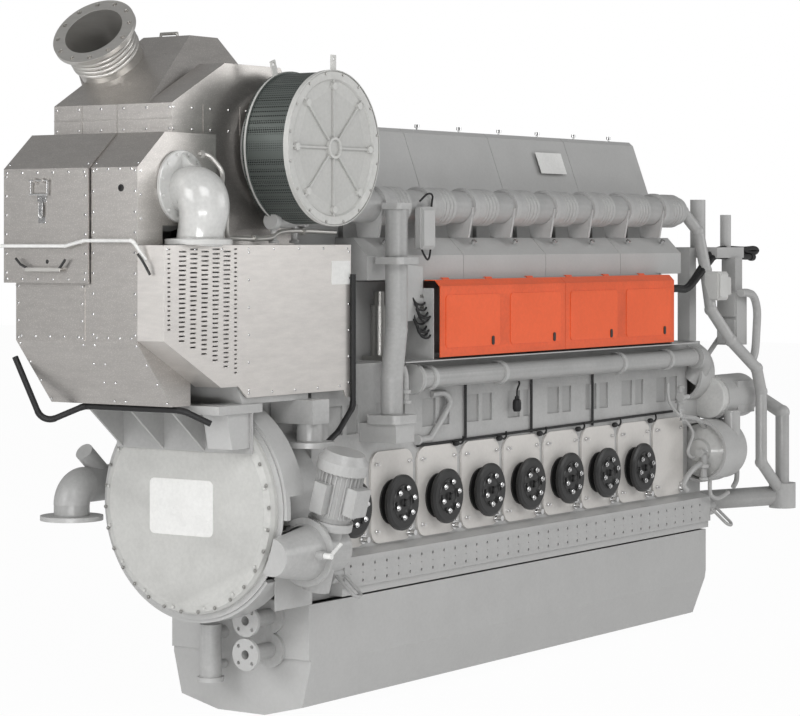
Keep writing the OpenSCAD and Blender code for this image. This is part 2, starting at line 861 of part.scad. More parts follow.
module big_end_bearings() color(steel) for (i = [0 : cyl_count - 1])
    translate([cyl_x(i) - big_end_len / 2, 0, crank_z]) rotate([throw_angle(i), 0, 0])
        translate([0, 0, crank_r]) rotate([0, 90, 0]) difference() {
            cylinder(r = big_end_r, h = big_end_len);
            translate([0, 0, -over]) cylinder(r = pin_r + run_gap, h = big_end_len + 2 * over);
        }

module flywheel() color(steel) difference() {
    union() {
        rod_x(flywheel_x, 0, crank_z, flywheel_r, flywheel_w);
        gear_x(flywheel_x + flywheel_w - ring_w, 0, crank_z, ring_teeth, ring_module, 180 + pinion_drop, ring_w);
    }
    turned_x(flywheel_x - over, 0, crank_z) translate([crank_flange_r + over, 0])
        square([flywheel_r - crank_flange_r - 2 * flywheel_w, flywheel_w / 3]);
}

module rods() for (i = [0 : cyl_count - 1]) translate([cyl_x(i), 0, 0]) difference() {
    union() {
        box(-rod_half, rod_half, -rod_foot_half, rod_foot_half, rod_foot_z, rod_foot_z + rod_foot_t);
        rod_z(0, 0, rod_foot_z + rod_foot_t - over, rod_half - over, piston_pin_z - rod_foot_z - rod_foot_t);
        rod_x(-rod_half, 0, piston_pin_z, rod_eye_r, 2 * rod_half);
    }
    rod_x(-rod_half - over, 0, piston_pin_z, piston_pin_r + run_gap, 2 * rod_half + 2 * over);
}

// Piston with its skirt hollow for the rod, and the pin through both
piston_crown = 60;
skirt_wall = 22;
pin_side = 8;
module pistons_and_rods() color(steel) {
    rods();
    for (i = [0 : cyl_count - 1]) translate([cyl_x(i), 0, piston_pin_z]) piston();
}
module piston() {
    difference() {
        translate([0, 0, -piston_low]) cylinder(r = bore / 2 - liner_gap, h = piston_h);
        translate([0, 0, -piston_low - over])
            cylinder(r = bore / 2 - skirt_wall, h = piston_h - piston_crown + over);
    }
    rotate([0, 90, 0]) translate([0, 0, -bore / 2 + skirt_wall - pin_side])
        cylinder(r = piston_pin_r, h = bore - 2 * skirt_wall + 2 * pin_side);
}

module cylinder_liners() color(steel) for (i = [0 : cyl_count - 1]) translate([cyl_x(i), 0, 0]) difference() {
    union() {
        rod_z(0, 0, crank_z + cavity_rise + over, liner_or, deck_z - crank_z - cavity_rise - over);
    }
    rod_z(0, 0, crank_z, bore / 2, deck_z);
}

head_chamfer = 45;
plug_boss_r = 60;
plug_boss_h = 90;
module cylinder_heads() color(paint) for (i = [0 : cyl_count - 1]) {
    translate([cyl_x(i) - head_w / 2, 0, 0]) rotate([90, 0, 90]) linear_extrude(head_w) polygon([
        [head_y0, deck_z + seat_gap], [head_y1, deck_z + seat_gap], [head_y1, head_top_z - head_chamfer],
        [head_y1 - head_chamfer, head_top_z], [head_y0 + head_chamfer, head_top_z],
        [head_y0, head_top_z - head_chamfer]]);
    rod_z(cyl_x(i), 0, head_top_z - over, plug_boss_r, plug_boss_h);
}

// Exhaust manifold inside the hood, from the heads to the high pressure turbine
ex_y = 340;
ex_rise = 1520;
ex_z = crank_z + ex_rise;
ex_r = 74;
ex_branch_r = 42;
ex_branch_y = 160;
ex_post_r = 12;
ex_end = 90;
ex_bend = 120;
ex_branch_rise = 90;
ex_branch_bend = 70;
ex_post_x = 90;
module exhaust_manifold() color(steel) {
    pipe([[x_last + ex_end, ex_y, ex_z], [high_x, ex_y, ex_z], [high_x, high_turb_y1 + seat_gap, ex_z]], ex_r, ex_bend);
    for (i = [0 : cyl_count - 1]) {
        pipe([[cyl_x(i), ex_branch_y, head_top_z + seat_gap], [cyl_x(i), ex_branch_y, head_top_z + ex_branch_rise],
              [cyl_x(i), ex_y, ex_z]], ex_branch_r, ex_branch_bend);
        rod_z(cyl_x(i) + ex_post_x, ex_y, ex_z, ex_post_r, hood_top_z - hood_sheet - seat_gap - ex_z);
    }
}

// Camshaft: plain bearings at the bulkheads, three cams a cylinder
cam_core_r = 32;
lobe_r = 44;
lobe_lift = 14;
lobe_w = 34;
lobe_step = 60;
cam_x0 = block_x0 + bulkhead / 4 + over;
cam_bearing_w = 60;
module cam_lobe(x, a) translate([x, -cam_y, cam_z]) rotate([a, 0, 0]) rotate([0, 90, 0])
    translate([0, -lobe_lift, 0]) cylinder(r = lobe_r, h = lobe_w);
cam_phase = 100;
module camshaft() color(steel) {
    rod_x(cam_x0, -cam_y, cam_z, cam_core_r, gear2_x - cam_x0 + over);
    for (j = [0 : cyl_count])
        rod_x(x_first - pitch / 2 + j * pitch - (j == 0 ? 0 : cam_bearing_w / 2), -cam_y, cam_z, tunnel_r - run_gap,
              j == 0 ? cam_bearing_w / 2 : cam_bearing_w);
    for (i = [0 : cyl_count - 1], k = [-1, 0, 1])
        cam_lobe(cyl_x(i) + k * lobe_step - lobe_w / 2, firing[i] * crank_step / 2 + k * cam_phase);
    gear_x(gear2_x, -cam_y, cam_z, cam_teeth, gear_module, cam_from_idler + 180 + 180 / cam_teeth, gear_w);
}
idler_tip_shift = 180 / idler_big;
idler_hub_r = 62;
module idler_gear() color(steel) difference() {
    union() {
        gear_x(gear_x, idler_y, idler_z, idler_big, gear_module, idler_angle + 180 + idler_tip_shift, gear_w);
        gear_x(gear2_x, idler_y, idler_z, idler_small, gear_module, cam_from_idler, gear_w);
        rod_x(gear_x, idler_y, idler_z, idler_hub_r, gear2_x + gear_w - gear_x);
    }
    rod_x(gear_x - over, idler_y, idler_z, idler_pin_r + run_gap, gear2_x + gear_w - gear_x + 2 * over);
}

pump_body_r = 48;
pump_body_h = 250;
pump_top_r = 34;
pump_top_h = 70;
pump_base = 130;
pump_base_t = 22;
pump_row_y = -285;
pump_shift = 8;
module injection_pumps() color(steel) for (i = [0 : cyl_count - 1])
    translate([cyl_x(i), pump_row_y, shelf_z + tray_t + 2 * seat_gap]) {
    translate([-pump_base / 2, -pump_base / 2 + pump_shift, 0]) cube([pump_base, pump_base - pump_shift, pump_base_t]);
    if (i == 0) translate([-pump_base / 2, -pump_base / 2 + pump_shift, -tray_t - seat_gap])
        cube([pump_base, pump_base - pump_shift, tray_t + seat_gap + over]);
    translate([0, 0, pump_base_t - over]) cylinder(r = pump_body_r, h = pump_body_h);
    translate([0, 0, pump_base_t + pump_body_h - 2 * over]) cylinder(r = pump_top_r, h = pump_top_h);
}

// Insulation hood over the exhaust side, in sections two cylinders long
module hood_outline(t) polygon([
    [hood_front_y + t, hood_front_z - (t > 0 ? over : 0)],
    [hood_mid_y + t, hood_mid_z - t / 2], [hood_mid_y + hood_round, hood_top_z - t],
    [hood_back_y - t, hood_top_z - t], [hood_far_y - t, hood_top_z - hood_round - t],
    [hood_far_y - t, hood_front_z - (t > 0 ? over : 0)]]);
module hood_part(x0, x1, close_low, close_high) difference() {
    along_x(x0, x1 - x0) hood_outline(0);
    along_x(x0 + (close_low ? hood_sheet : -over),
            x1 - x0 - (close_low ? hood_sheet : -over) - (close_high ? hood_sheet : -over))
        hood_outline(hood_sheet);
}
hood_cuts = [hood_x0, x_first + pitch / 2, x_first + pitch * 5 / 2, x_first + pitch * 9 / 2,
             x_first + pitch * 13 / 2, hood_x1];
hood_bead = 6;
bead_t = 3;
module hood_panels() color(paint) difference() {
    for (k = [0 : 4]) hood_part(hood_cuts[k] + hood_gap / 2, hood_cuts[k + 1] - hood_gap / 2, k == 0, k == 4);
    rod_x(hood_x0 - over, ex_y, ex_z, ex_r + duct_gap, 2 * hood_sheet);
}

// Knurled hand knobs on the covers, door studs, nuts and drain plugs
knob_r = 13;
knob_h = 16;
knob_stem_r = 6;
knob_stem = 14;
vgc_slope = atan2(vgc_top_z - vgc_mid_z, vgc_top_y - vgc_y);
knob_share = 0.62;
knob_y = vgc_y + (vgc_top_y - vgc_y) * knob_share;
knob_z = vgc_mid_z + (vgc_top_z - vgc_mid_z) * knob_share;
hood_knob_y = 40;
nut_r = 11;
nut_h = 10;
stud_len = 24;
stud_in_x = 38;
stud_in_z = 60;
module hand_knob() {
    cylinder(r = knob_stem_r, h = knob_stem);
    translate([0, 0, knob_stem - over]) cylinder(r = knob_r, h = knob_h);
}
module door_set(x, s) for (i = [-1, 1], j = [-1, 1]) {
    translate([x + i * (door_w / 2 - stud_in_x), s * (wall_half + door_t), door_z + j * (door_h / 2 - stud_in_z)])
        rotate([-s * 90, 0, 0]) {
            cylinder(r = stud_r, h = stud_len);
            cylinder(r = nut_r, h = nut_h, $fn = 6);
        }
}
drain_plug_h = 42;
knob_shift = 43;
plug_rim = 8;
module fasteners() color(steel) {
    for (i = [1 : cyl_count - 1]) translate([cyl_x(i) - knob_shift, knob_y, knob_z]) rotate([vgc_slope, 0, 0]) hand_knob();
    for (k = [1 : 4], s = [-1, 1])
        translate([(hood_cuts[k] + hood_cuts[k + 1]) / 2 + s * pitch / 2, hood_knob_y, hood_top_z]) hand_knob();
    for (i = [0 : cyl_count - 1], s = [-1, 1]) door_set(cyl_x(i), s);
    for (i = [0 : cyl_count - 1])
        translate([cyl_x(i) + door_w / 2 - stud_in_x, -wall_half - door_t, door_z - door_h / 2 + stud_in_x / 2 + plug_r])
            rotate([90, 0, 0]) {
                cylinder(r = plug_r + plug_rim, h = nut_h);
                cylinder(r = plug_r, h = drain_plug_h);
            }
}

// Charge air manifold: a flanged sleeve for each cylinder, joined by bellows rings
ring_fill_share = 2.4;
manifold_tail_share = 0.55;
module sleeve_profile(length) difference() {
    union() {
        translate([0, 0]) square([manifold_r, sleeve_len / 3]);
        square([sleeve_r, sleeve_len]);
        square([neck_r, length]);
        for (k = [0 : ring_count - 1])
            translate([neck_r, sleeve_len + (k + 0.5) * ring_len / ring_count]) circle(r = ring_len / ring_count / ring_fill_share);
    }
    translate([-over, -over]) square([duct_r + over, length + 2 * over]);
    translate([-manifold_r, -over]) square([manifold_r, length + 2 * over]);
}
manifold_x0 = cyl_x(1) - flange_shift;
module air_manifold() color(paint) {
    for (i = [1 : cyl_count - 1])
        turned_x(cyl_x(i) - flange_shift, manifold_y, manifold_z)
            sleeve_profile(i == cyl_count - 1 ? pitch - manifold_end : pitch);
    turned_x(manifold_x0 - pitch * manifold_tail_share, manifold_y, manifold_z) translate([duct_r, 0])
        square([neck_r - duct_r, pitch * manifold_tail_share]);
    turned_x(x_last - flange_shift + pitch - manifold_end, manifold_y, manifold_z)
        square([neck_r, pipe_wall]);
}

foot_w = 90;
foot_t = 16;
foot_half = 60;
clamp_xs = [x_first + 600, x_first + 1250, x_first + 2480, x_first + 3020];
module pipe_clamp(x) difference() {
    union() {
        rod_x(x, coolant_y, coolant_z, coolant_r + clamp_t, clamp_w);
        box(x, x + clamp_w, coolant_y, -wall_half - seat_gap, coolant_z - coolant_r / 2, coolant_z + coolant_r / 2);
    }
    rod_x(x - over, coolant_y, coolant_z, coolant_r + seat_gap, clamp_w + 2 * over);
}
module pipe_brackets() color(paint) {
    for (i = [1 : cyl_count - 1]) along_x(cyl_x(i) - flange_shift - foot_t - seat_gap, foot_t) difference() {
        polygon([[manifold_y - foot_half, vgc_top_z + seat_gap], [manifold_y + foot_half, vgc_top_z + seat_gap],
                 [manifold_y + foot_w, manifold_z], [manifold_y - foot_w, manifold_z]]);
        translate([manifold_y, manifold_z]) circle(r = neck_r + seat_gap);
    }
    for (x = clamp_xs) pipe_clamp(x);
}

// Valve gear cover: sheet box with a slanted face, in sections two cylinders long
module vgc_outline(t) polygon([
    [vgc_y + t, vgc_low_z - (t > 0 ? over : 0)], [vgc_y + t, vgc_mid_z - t / 2], [vgc_top_y + t / 2, vgc_top_z - t],
    [vgc_back_y - t, vgc_top_z - t], [vgc_back_y - t, vgc_low_z - (t > 0 ? over : 0)]]);
vgc_cuts = [vgc_x0, x_first + pitch * 5 / 2, x_first + pitch * 9 / 2, x_first + pitch * 13 / 2, vgc_x1];
vgc_end_drop = 90;
module valve_gear_cover() color(paint) for (k = [0 : 3]) difference() {
    along_x(vgc_cuts[k] + hood_gap / 2, vgc_cuts[k + 1] - vgc_cuts[k] - hood_gap) vgc_outline(0);
    along_x(vgc_cuts[k] + vgc_sheet, vgc_cuts[k + 1] - vgc_cuts[k] - 2 * vgc_sheet) vgc_outline(vgc_sheet);
}

// Tray, end plates and hinge rod of the hot box
hot_x1 = hot_x0 + 2 * hot_sec;
stand_along = 246;
stand_x = x_first + stand_along;
tray_x0_more = 10;
tray_x0 = stand_x + stand_r + tray_x0_more;
tray_x1_along = 100;
tray_x1 = x_last + tray_x1_along;
tray_rod_y = hot_rear_y;
rod_eye = 14;
tray_end = 30;
tray_gap = 10;
tray_lip = 20;
tray_top_gap = 40;
eye_drop = 42;
eye_trim = 4;
rod_end = 40;
rod_tail = 70;
collar_wall = 4;
collar_w = 10;
module hot_box_tray() color(paint) {
    box(tray_x0, tray_x1, hot_y + hot_sheet + over, -hot_wall_y - seat_gap, shelf_z + seat_gap,
        shelf_z + tray_t + seat_gap);
    for (x = [hot_x0 - tray_end, hot_x1 + tray_gap]) box(x, x + tray_t, hot_y + tray_lip, -hot_wall_y - seat_gap,
        shelf_z + tray_t, hinge_z - tray_top_gap);
    for (x = [hot_x0 - tray_end, hot_x1 + tray_gap]) difference() {
        box(x, x + tray_t, hot_rear_y - rod_eye, hot_rear_y + rod_eye, hinge_z - eye_drop, hinge_z + rod_eye - eye_trim);
        rod_x(x - over, tray_rod_y, hinge_z, hinge_rod_r + over, tray_t + 2 * over);
    }
    rod_x(hot_x0 - rod_end, tray_rod_y, hinge_z, hinge_rod_r, hot_x1 - hot_x0 + rod_tail);
    for (x = [hot_x0 - rod_end, hot_x1 + tray_lip])
        rod_x(x, tray_rod_y, hinge_z, hinge_rod_r + collar_wall, collar_w);
}

// Orange cover: panel, chamfer and top strip, hung on the rod by knuckles
knuckle_w = 60;
slit_w = 70;
slit_step = 90;
hinge_lip = 14;
hot_panel_round = 22;
knuckle_wall = 5;
knuckle_reach = 20;
slit_first_share = 0.7;
slit_count = 12;
slit_in = 16;
slit_out = 26;
module hot_cover_outline() polygon([
    [hot_y, hot_low_z], [hot_y, hot_low_z + hot_h], [hot_y + hot_chamfer, hinge_z],
    [hot_rear_y - hinge_lip, hinge_z], [hot_rear_y - hinge_lip, hinge_z - hot_sheet],
    [hot_y + hot_chamfer + hot_sheet / 2, hinge_z - hot_sheet],
    [hot_y + hot_sheet, hot_low_z + hot_h - hot_sheet / 2], [hot_y + hot_sheet, hot_low_z]]);
module hot_cover(x0) color(orange) difference() {
    union() {
        along_x(x0 + hot_gap / 2, hot_sec - hot_gap) hot_cover_outline();
        for (k = [0, 1]) translate([x0 + hot_sec * (k + 0.5) / 2, hot_y, hot_low_z + hot_h / 2])
            rotate([90, 0, 0]) linear_extrude(hot_panel_t) rounded(hot_panel_w, hot_panel_h, hot_panel_round);
        for (k = [0 : 2]) translate([x0 + hot_sec * (k + 0.5) / 3, 0, 0]) difference() {
            union() {
                rod_x(-knuckle_w / 2, tray_rod_y, hinge_z, hinge_rod_r + knuckle_wall, knuckle_w);
                box(-knuckle_w / 2, knuckle_w / 2, hot_rear_y - knuckle_reach, tray_rod_y - hinge_rod_r - over / 2, hinge_z - hot_sheet, hinge_z);
            }
            rod_x(-knuckle_w, tray_rod_y, hinge_z, hinge_rod_r + run_gap, 2 * knuckle_w);
        }
    }
    for (k = [0, 1]) rod_y(latch_x(x0, k), hot_y - latch_h, latch_z, latch_rx + over, 2 * latch_h);
    for (k = [0 : slit_count - 1])
        box(x0 + slit_step * (k + slit_first_share), x0 + slit_step * (k + slit_first_share) + slit_w,
        hot_y + hot_chamfer + slit_in, hot_y + hot_chamfer + slit_out, hinge_z - 2 * hot_sheet, hinge_z + over);
}
latch_z = hot_low_z + latch_drop;
function latch_x(x0, k) = x0 + hot_sec * (k + 1) / 2 - (hot_sec / 2 - hot_panel_w) / 2 - latch_in;
module hot_box_cover_left() hot_cover(hot_x0);
module hot_box_cover_right() hot_cover(hot_x0 + hot_sec);
latch_lip = 4;
latch_gap = 0.4;
latch_stem = 10;
latch_bar_at = 6;
latch_bar_t = 4;
module hot_latch(n) color(dark)
    translate([latch_x(hot_x0 + floor(n / 2) * hot_sec, n % 2), hot_y - hot_panel_t - latch_gap, latch_z])
    rotate([-90, 0, 0]) {
        cylinder(r = latch_rx, h = hot_sheet + hot_panel_t + latch_stem);
        translate([0, 0, -latch_lip]) linear_extrude(latch_lip) {
            for (s = [-1, 1]) translate([0, s * (latch_h / 2 - latch_rx - over)]) circle(r = latch_rx + over);
            square([2 * (latch_rx + over), latch_h - 2 * latch_rx - 2 * over], center = true);
        }
        translate([-latch_rx, -latch_rx, hot_sheet + hot_panel_t + latch_bar_at]) cube([2 * latch_rx, latch_h, latch_bar_t]);
    }
module hot_box_latch_1() hot_latch(0);
module hot_box_latch_2() hot_latch(1);
module hot_box_latch_3() hot_latch(2);
module hot_box_latch_4() hot_latch(3);

// Coolant pipe along the block, bent up into the block at the free end
bend_big = 90;
coolant_bend = 60;
coolant_flange_t = 16;
coolant_flange_out = 28;
coolant_ring_out = 26;
module coolant_pipe() color(paint) {
    pipe([[coolant_x0, coolant_y, coolant_z], [coolant_x1, coolant_y, coolant_z],
          [coolant_x1, -wall_half - seat_gap, coolant_z]], coolant_r, coolant_bend);
    rod_x(coolant_x0 - coolant_flange_t, coolant_y, coolant_z, coolant_r + coolant_flange_out, coolant_flange_t);
    rod_x(coolant_x0 - 2 * coolant_flange_t, coolant_y, coolant_z, coolant_r + coolant_ring_out,
        coolant_flange_t + over / 2);
}

// Stand pipe from the lower housing up to the manifold
module stand_flange(x, y, z, w, t) translate([x, y, z]) linear_extrude(t) rounded(w, w, w / 6);
stand_w = 190;
stand_foot_drop = 20;
stand_foot_t = 42;
stand_mid_rise = 745;
stand_mid_trim = 20;
stand_mid_t = 34;
stand_top_drop = 10;
stand_top_out = 8;
stand_top_t = 30;
stand_box_back = 80;
stand_box_front = 75;
module stand_pipe() color(paint) {
    for (p = [[stand_low_x, stand_low_y, stand_knee_z], [stand_x, stand_y, stand_bend_z]])
        translate(p) sphere(r = stand_r + elbow_lip);
    rod_z(stand_low_x, stand_low_y, stand_z0, stand_r, stand_knee_z - stand_z0);
    run([stand_low_x, stand_low_y, stand_knee_z], [stand_x, stand_y, stand_bend_z], stand_r);
    rod_z(stand_x, stand_y, stand_bend_z, stand_r, stand_z1 - stand_bend_z);
    stand_flange(stand_low_x, stand_low_y, stand_z0 - stand_foot_drop, stand_w, stand_foot_t);
    stand_flange(stand_x, stand_y, stand_z0 + stand_mid_rise, stand_w - stand_mid_trim, stand_mid_t);
    stand_flange(stand_x, stand_y, stand_z1 - stand_top_drop, 2 * stand_r + stand_top_out, stand_top_t);
    box(stand_low_x - stand_box_back, stand_low_x + stand_box_front, stand_low_y - stand_box_back, -wall_half - seat_gap,
        stand_z0 - stand_foot_drop - stand_box_h, stand_z0 - stand_foot_drop + over / 2);
}

module crankcase_doors() color(steel) for (i = [0 : cyl_count - 1], s = [-1, 1]) difference() {
    translate([cyl_x(i), s * (wall_half + door_t / 2 + seat_gap / 2), door_z]) rotate([90, 0, 0])
        linear_extrude(door_t - seat_gap, center = true) rounded(door_w, door_h, door_corner);
    if (s < 0 && i < valve_count) rod_y(cyl_x(i), -wall_half - 2 * door_t, valve_z, valve_open_r, 3 * door_t);
}

// Relief valve: a black cover held off the door by six studs, with the sprung plate between
valve_face_y = -rail_half;
pad_in = 15;
pad_out = 19;
pad_slope = 3;
pad_lift = 4;
valve_rim_in = 14;
valve_rim_rise = 8;
valve_round = 6;
valve_hub_out = 10;
valve_hub_r = 20;
valve_hub_len = 18;
valve_bolt_out = 12;
valve_bolt_r = 9;
valve_bolt_len = 13;
module relief_valve_covers() color(dark) for (i = [0 : valve_count - 1]) {
    difference() {
        turned_y(cyl_x(i), valve_face_y, valve_z) polygon([
            [0, 0], [valve_pcr - pad_in, 0], [valve_pcr - pad_in + pad_slope, -pad_lift],
            [valve_pcr + pad_out - pad_slope, -pad_lift], [valve_pcr + pad_out, 0], [valve_r - valve_rim_in, 0],
            [valve_r, valve_rim_rise], [valve_r, valve_face - valve_round], [valve_r - valve_round, valve_face], [0, valve_face]]);
        rod_y(cyl_x(i), valve_face_y - valve_hub_out, valve_z, valve_hub_r, valve_hub_len);
    }
    for (k = [0 : 5]) rotate_about(cyl_x(i), valve_z, k * 60) rod_y(cyl_x(i) + valve_pcr, valve_face_y + valve_face - over,
        valve_z, valve_stud_r, rail_half - wall_half - door_t - valve_face + over);
    for (k = [0 : 5]) rotate_about(cyl_x(i), valve_z, k * 60) rod_y(cyl_x(i) + valve_pcr, valve_face_y - valve_bolt_out,
            valve_z, valve_bolt_r, valve_bolt_len);
}
module rotate_about(x, z, a) translate([x, 0, z]) rotate([0, a, 0]) translate([-x, 0, -z]) children();
module relief_valve_plates() color(dark) for (i = [0 : valve_count - 1]) difference() {
    rod_y(cyl_x(i), -wall_half - door_t - seat_gap - valve_plate_t, valve_z, valve_plate_r, valve_plate_t);
    for (k = [0 : 5]) rotate_about(cyl_x(i), valve_z, k * 60)
        rod_y(cyl_x(i) + valve_pcr, -wall_half - 4 * door_t, valve_z, valve_stud_r + over, 4 * door_t);
}

// Low pressure turbocharger: compressor behind the filter, turbine under the top cladding
lp_inner_r = 140;
lp_inner_len = 60;
lp_slope_end = 110;
lp_body_end = 250;
lp_foot_half = 110;
lp_foot_y0 = -40;
lp_foot_y1 = 160;
lp_exit_depth = 150;
lp_exit_wall = 10;
module lp_turbo_casing() color(paint) difference() {
    union() {
        turned_y(lp_x, lp_comp_y0, lp_z) polygon([[0, 0], [lp_bore_r + comp_rim, 0],
            [lp_comp_r - 2 * comp_rim, comp_rim], [lp_comp_r, 2 * comp_rim], [lp_comp_r, 4 * comp_rim],
            [lp_neck_r, 4 * comp_rim], [lp_neck_r, lp_comp_y1 - lp_comp_y0], [0, lp_comp_y1 - lp_comp_y0]]);
        turned_y(lp_x, lp_turb_y0 - over, lp_z) polygon([[0, 0], [lp_inner_r, 0], [lp_inner_r, lp_inner_len],
        [lp_turb_r, lp_slope_end], [lp_turb_r, lp_body_end],
            [lp_bore_r, lp_turb_y1 - lp_turb_y0], [0, lp_turb_y1 - lp_turb_y0]]);
        box(lp_x - lp_foot_half, lp_x + lp_foot_half, lp_foot_y0, lp_foot_y1, cooler_z1 + seat_gap, lp_z);
    }
    rod_y(lp_x, lp_comp_y0 - over, lp_z, lp_neck_r - comp_rim, lp_neck_r);
    rod_y(lp_x, lp_comp_y0, lp_z, shaft_r + run_gap, lp_turb_y1 - lp_comp_y0);
    rod_y(lp_x, lp_turb_y1 - lp_exit_depth, lp_z, lp_bore_r - lp_exit_wall, lp_exit_depth + lp_exit_wall);
}
hub_share = 0.45;
blade_share = 0.04;
module turbo_rotor(x, z, y0, y1, shaft, wheel, blades) {
    rod_y(x, y0, z, shaft, y1 - y0);
    for (e = [0, 1]) translate([x, e == 0 ? y0 : y1 - wheel / 2, z]) rotate([-90, 0, 0]) {
        translate([0, 0, -over]) cylinder(r = wheel * hub_share, h = wheel / 2 + 2 * over);
        for (k = [0 : blades - 1]) rotate([0, 0, k * 360 / blades])
            translate([wheel * hub_share - over, -wheel * blade_share / 2, 0])
                cube([wheel * (1 - hub_share), wheel * blade_share, wheel / 2]);
    }
}
lp_rotor_in = 50;
lp_rotor_out = 40;
lp_blades = 12;
module lp_turbo_rotor() color(steel)
    turbo_rotor(lp_x, lp_z, lp_comp_y0 + lp_rotor_in, lp_turb_y1 - lp_rotor_out, shaft_r, wheel_r, lp_blades);

// Intake filter: rims, cage ribs and a perforated shell, with an end cover
mesh_t = 4;
filter_inset = 8;
module filter_drum() color(dark) {
    difference() {
        rod_y(lp_x, filter_y + filter_cover_t + seat_gap, lp_z, filter_r - filter_inset, filter_len - filter_cover_t - seat_gap);
        rod_y(lp_x, filter_y - over, lp_z, filter_r - filter_inset - mesh_t, filter_len - filter_rim + over);
        rod_y(lp_x, filter_y - over, lp_z, lp_bore_r, filter_len + 2 * over);
    }
    difference() {
        rod_y(lp_x, filter_y + filter_len - filter_rim, lp_z, filter_r, filter_rim);
        rod_y(lp_x, filter_y, lp_z, lp_bore_r, filter_len + over);
    }
}
boss_r = 17;
boss_at = 285;
hub_r = 50;
eye_t = 8;
eye_w = 36;
eye_h = 70;
eye_turn = 20;
module lifting_eye(y, low) difference() {
    translate([lp_x - eye_w / 2, y - eye_t / 2, lp_z + filter_r + low]) cube([eye_w, eye_t, eye_h - low]);
    rod_y(lp_x, y - eye_t, lp_z + filter_r + eye_h - eye_w / 2, eye_w / 4, 2 * eye_t);
}
dish = 12;
dish_in = 50;
dish_edge = 42;
dish_lift = 2;
rim_round = 6;
rib_half = 5;
rib_end = 40;
rib_low = 14;
boss_out = 4;
boss_len = 20;
hub_out = 6;
hub_cap_out = 10;
hub_cap_in = 12;
hub_cap_len = 16;
module filter_cover() color(paint) {
    difference() {
        union() {
            turned_y(lp_x, filter_y, lp_z) polygon([[0, dish], [filter_r - dish_in, dish], [filter_r - dish_edge, dish_lift], [filter_r - filter_inset, 0],
                [filter_r, rim_round], [filter_r, filter_cover_t], [0, filter_cover_t]]);
            for (k = [0 : 7]) rotate_about(lp_x, lp_z, k * 45) {
                box(lp_x + hub_r - rib_half, lp_x + filter_r - rib_end, filter_y + dish_lift, filter_y + rib_low,
            lp_z - rib_half, lp_z + rib_half);
                rod_y(lp_x + boss_at, filter_y - boss_out, lp_z, boss_r, boss_len);
            }
            rod_y(lp_x, filter_y - hub_out, lp_z, hub_r, boss_len);
        }
        rod_y(lp_x, filter_y - hub_cap_out, lp_z, hub_r - hub_cap_in, hub_cap_len);
    }
    lifting_eye(filter_y + eye_t, -eye_t);
    rotate_about(lp_x, lp_z, -eye_turn) lifting_eye(filter_y + filter_len - filter_rim / 2, seat_gap);
}

// Exhaust outlet: flange, bellows and sleeve on a leaning axis
out_holes = 12;
out_hole_r = 11;
bellows_shift_share = 0.75;
module outlet_frame() translate([out_x, out_y, out_z]) rotate([0, 0, out_yaw]) rotate([0, -out_tilt, 0]) children();
module exhaust_outlet() color(paint) outlet_frame() difference() {
    union() {
        translate([0, 0, -out_flange_t]) cylinder(r = outlet_r, h = out_flange_t);
        translate([0, 0, -out_flange_t - bellows_len - out_sleeve_len - out_tail])
            cylinder(r = sleeve_out_r, h = bellows_len + out_sleeve_len + out_tail + over);
        for (k = [0 : bellows_count - 1])
            translate([0, 0, -out_flange_t - (k + bellows_shift_share) * bellows_len / bellows_count]) rotate_extrude()
                translate([sleeve_out_r, 0]) circle(r = bellows_r - sleeve_out_r);
    }
    translate([0, 0, -out_flange_t - bellows_len - out_sleeve_len - out_tail - over])
        cylinder(r = outlet_bore_r, h = 2 * bellows_len + 2 * out_sleeve_len);
    for (k = [0 : out_holes - 1]) rotate([0, 0, (k + 0.5) * 360 / out_holes]) translate([outlet_pcr, 0, -out_flange_t - over])
        cylinder(r = out_hole_r, h = out_flange_t + 2 * over);
}

// Top cladding: walls with a hipped roof, a lower roof beside it and the cone for the outlet
roof_t = 10;
module roof_shape(t) hull() {
    box(top_x0 + t, top_x1 - t, top_mid_y + t, top_y1 - t, top_band_z - roof_t, top_band_z - t);
    box(ridge_x0 + t, ridge_x1 - t, ridge_y0 + t, ridge_y1 - t, ridge_z - roof_t, ridge_z - t);
}
module low_roof_shape(t) hull() {
    box(top_x0 + t, top_x1 - t, top_y0 + t, top_mid_y + roof_t, top_band_z - roof_t, top_band_z - t);
    box(low_ridge_x0 + t, low_ridge_x1 - t, top_y0 + t, top_mid_y + roof_t, low_ridge_z - roof_t, low_ridge_z - t);
}
low_x1_less = 10;
low_x1 = x_first - head_w / 2 - low_x1_less;
module cladding_top() color(bright_sheet) difference() {
    cladding_shells();
    rod_y(lp_x, top_y0 - over, lp_z, lp_neck_r + sheet, 3 * sheet);
}
cone_sides = 10;
module cladding_shells() {
    difference() {
        union() {
            box(top_x0, top_x1, top_y0, top_y1, top_base_z, top_band_z - roof_t / 2);
            roof_shape(0);
            low_roof_shape(0);
            outlet_frame() translate([0, 0, -out_flange_t - bellows_len - out_sleeve_len - cone_len])
                cylinder(r1 = cone_low_r, r2 = cone_top_r, h = cone_len, $fn = cone_sides);
        }
        box(top_x0 + sheet, top_x1 - sheet, top_y0 + sheet, top_y1 - sheet, top_base_z - over, top_band_z);
        roof_shape(sheet);
        low_roof_shape(sheet);
        outlet_frame() translate([0, 0, -out_flange_t - bellows_len - out_sleeve_len - cone_len - over])
            cylinder(r = sleeve_out_r + seat_gap, h = cone_len + bellows_len);
    }
    difference() {
        box(side_x0 + seat_gap, low_x1, top_y0, top_y1, side_low_z, top_base_z + sheet);
        box(side_x0 + seat_gap + sheet, low_x1 - sheet, top_y0 + sheet, top_y1 - sheet, side_low_z - over,
            top_base_z + 2 * sheet);
        rod_x(side_x0, ex_y, ex_z, ex_r + duct_gap, top_x1 - side_x0 + over);
    }
}

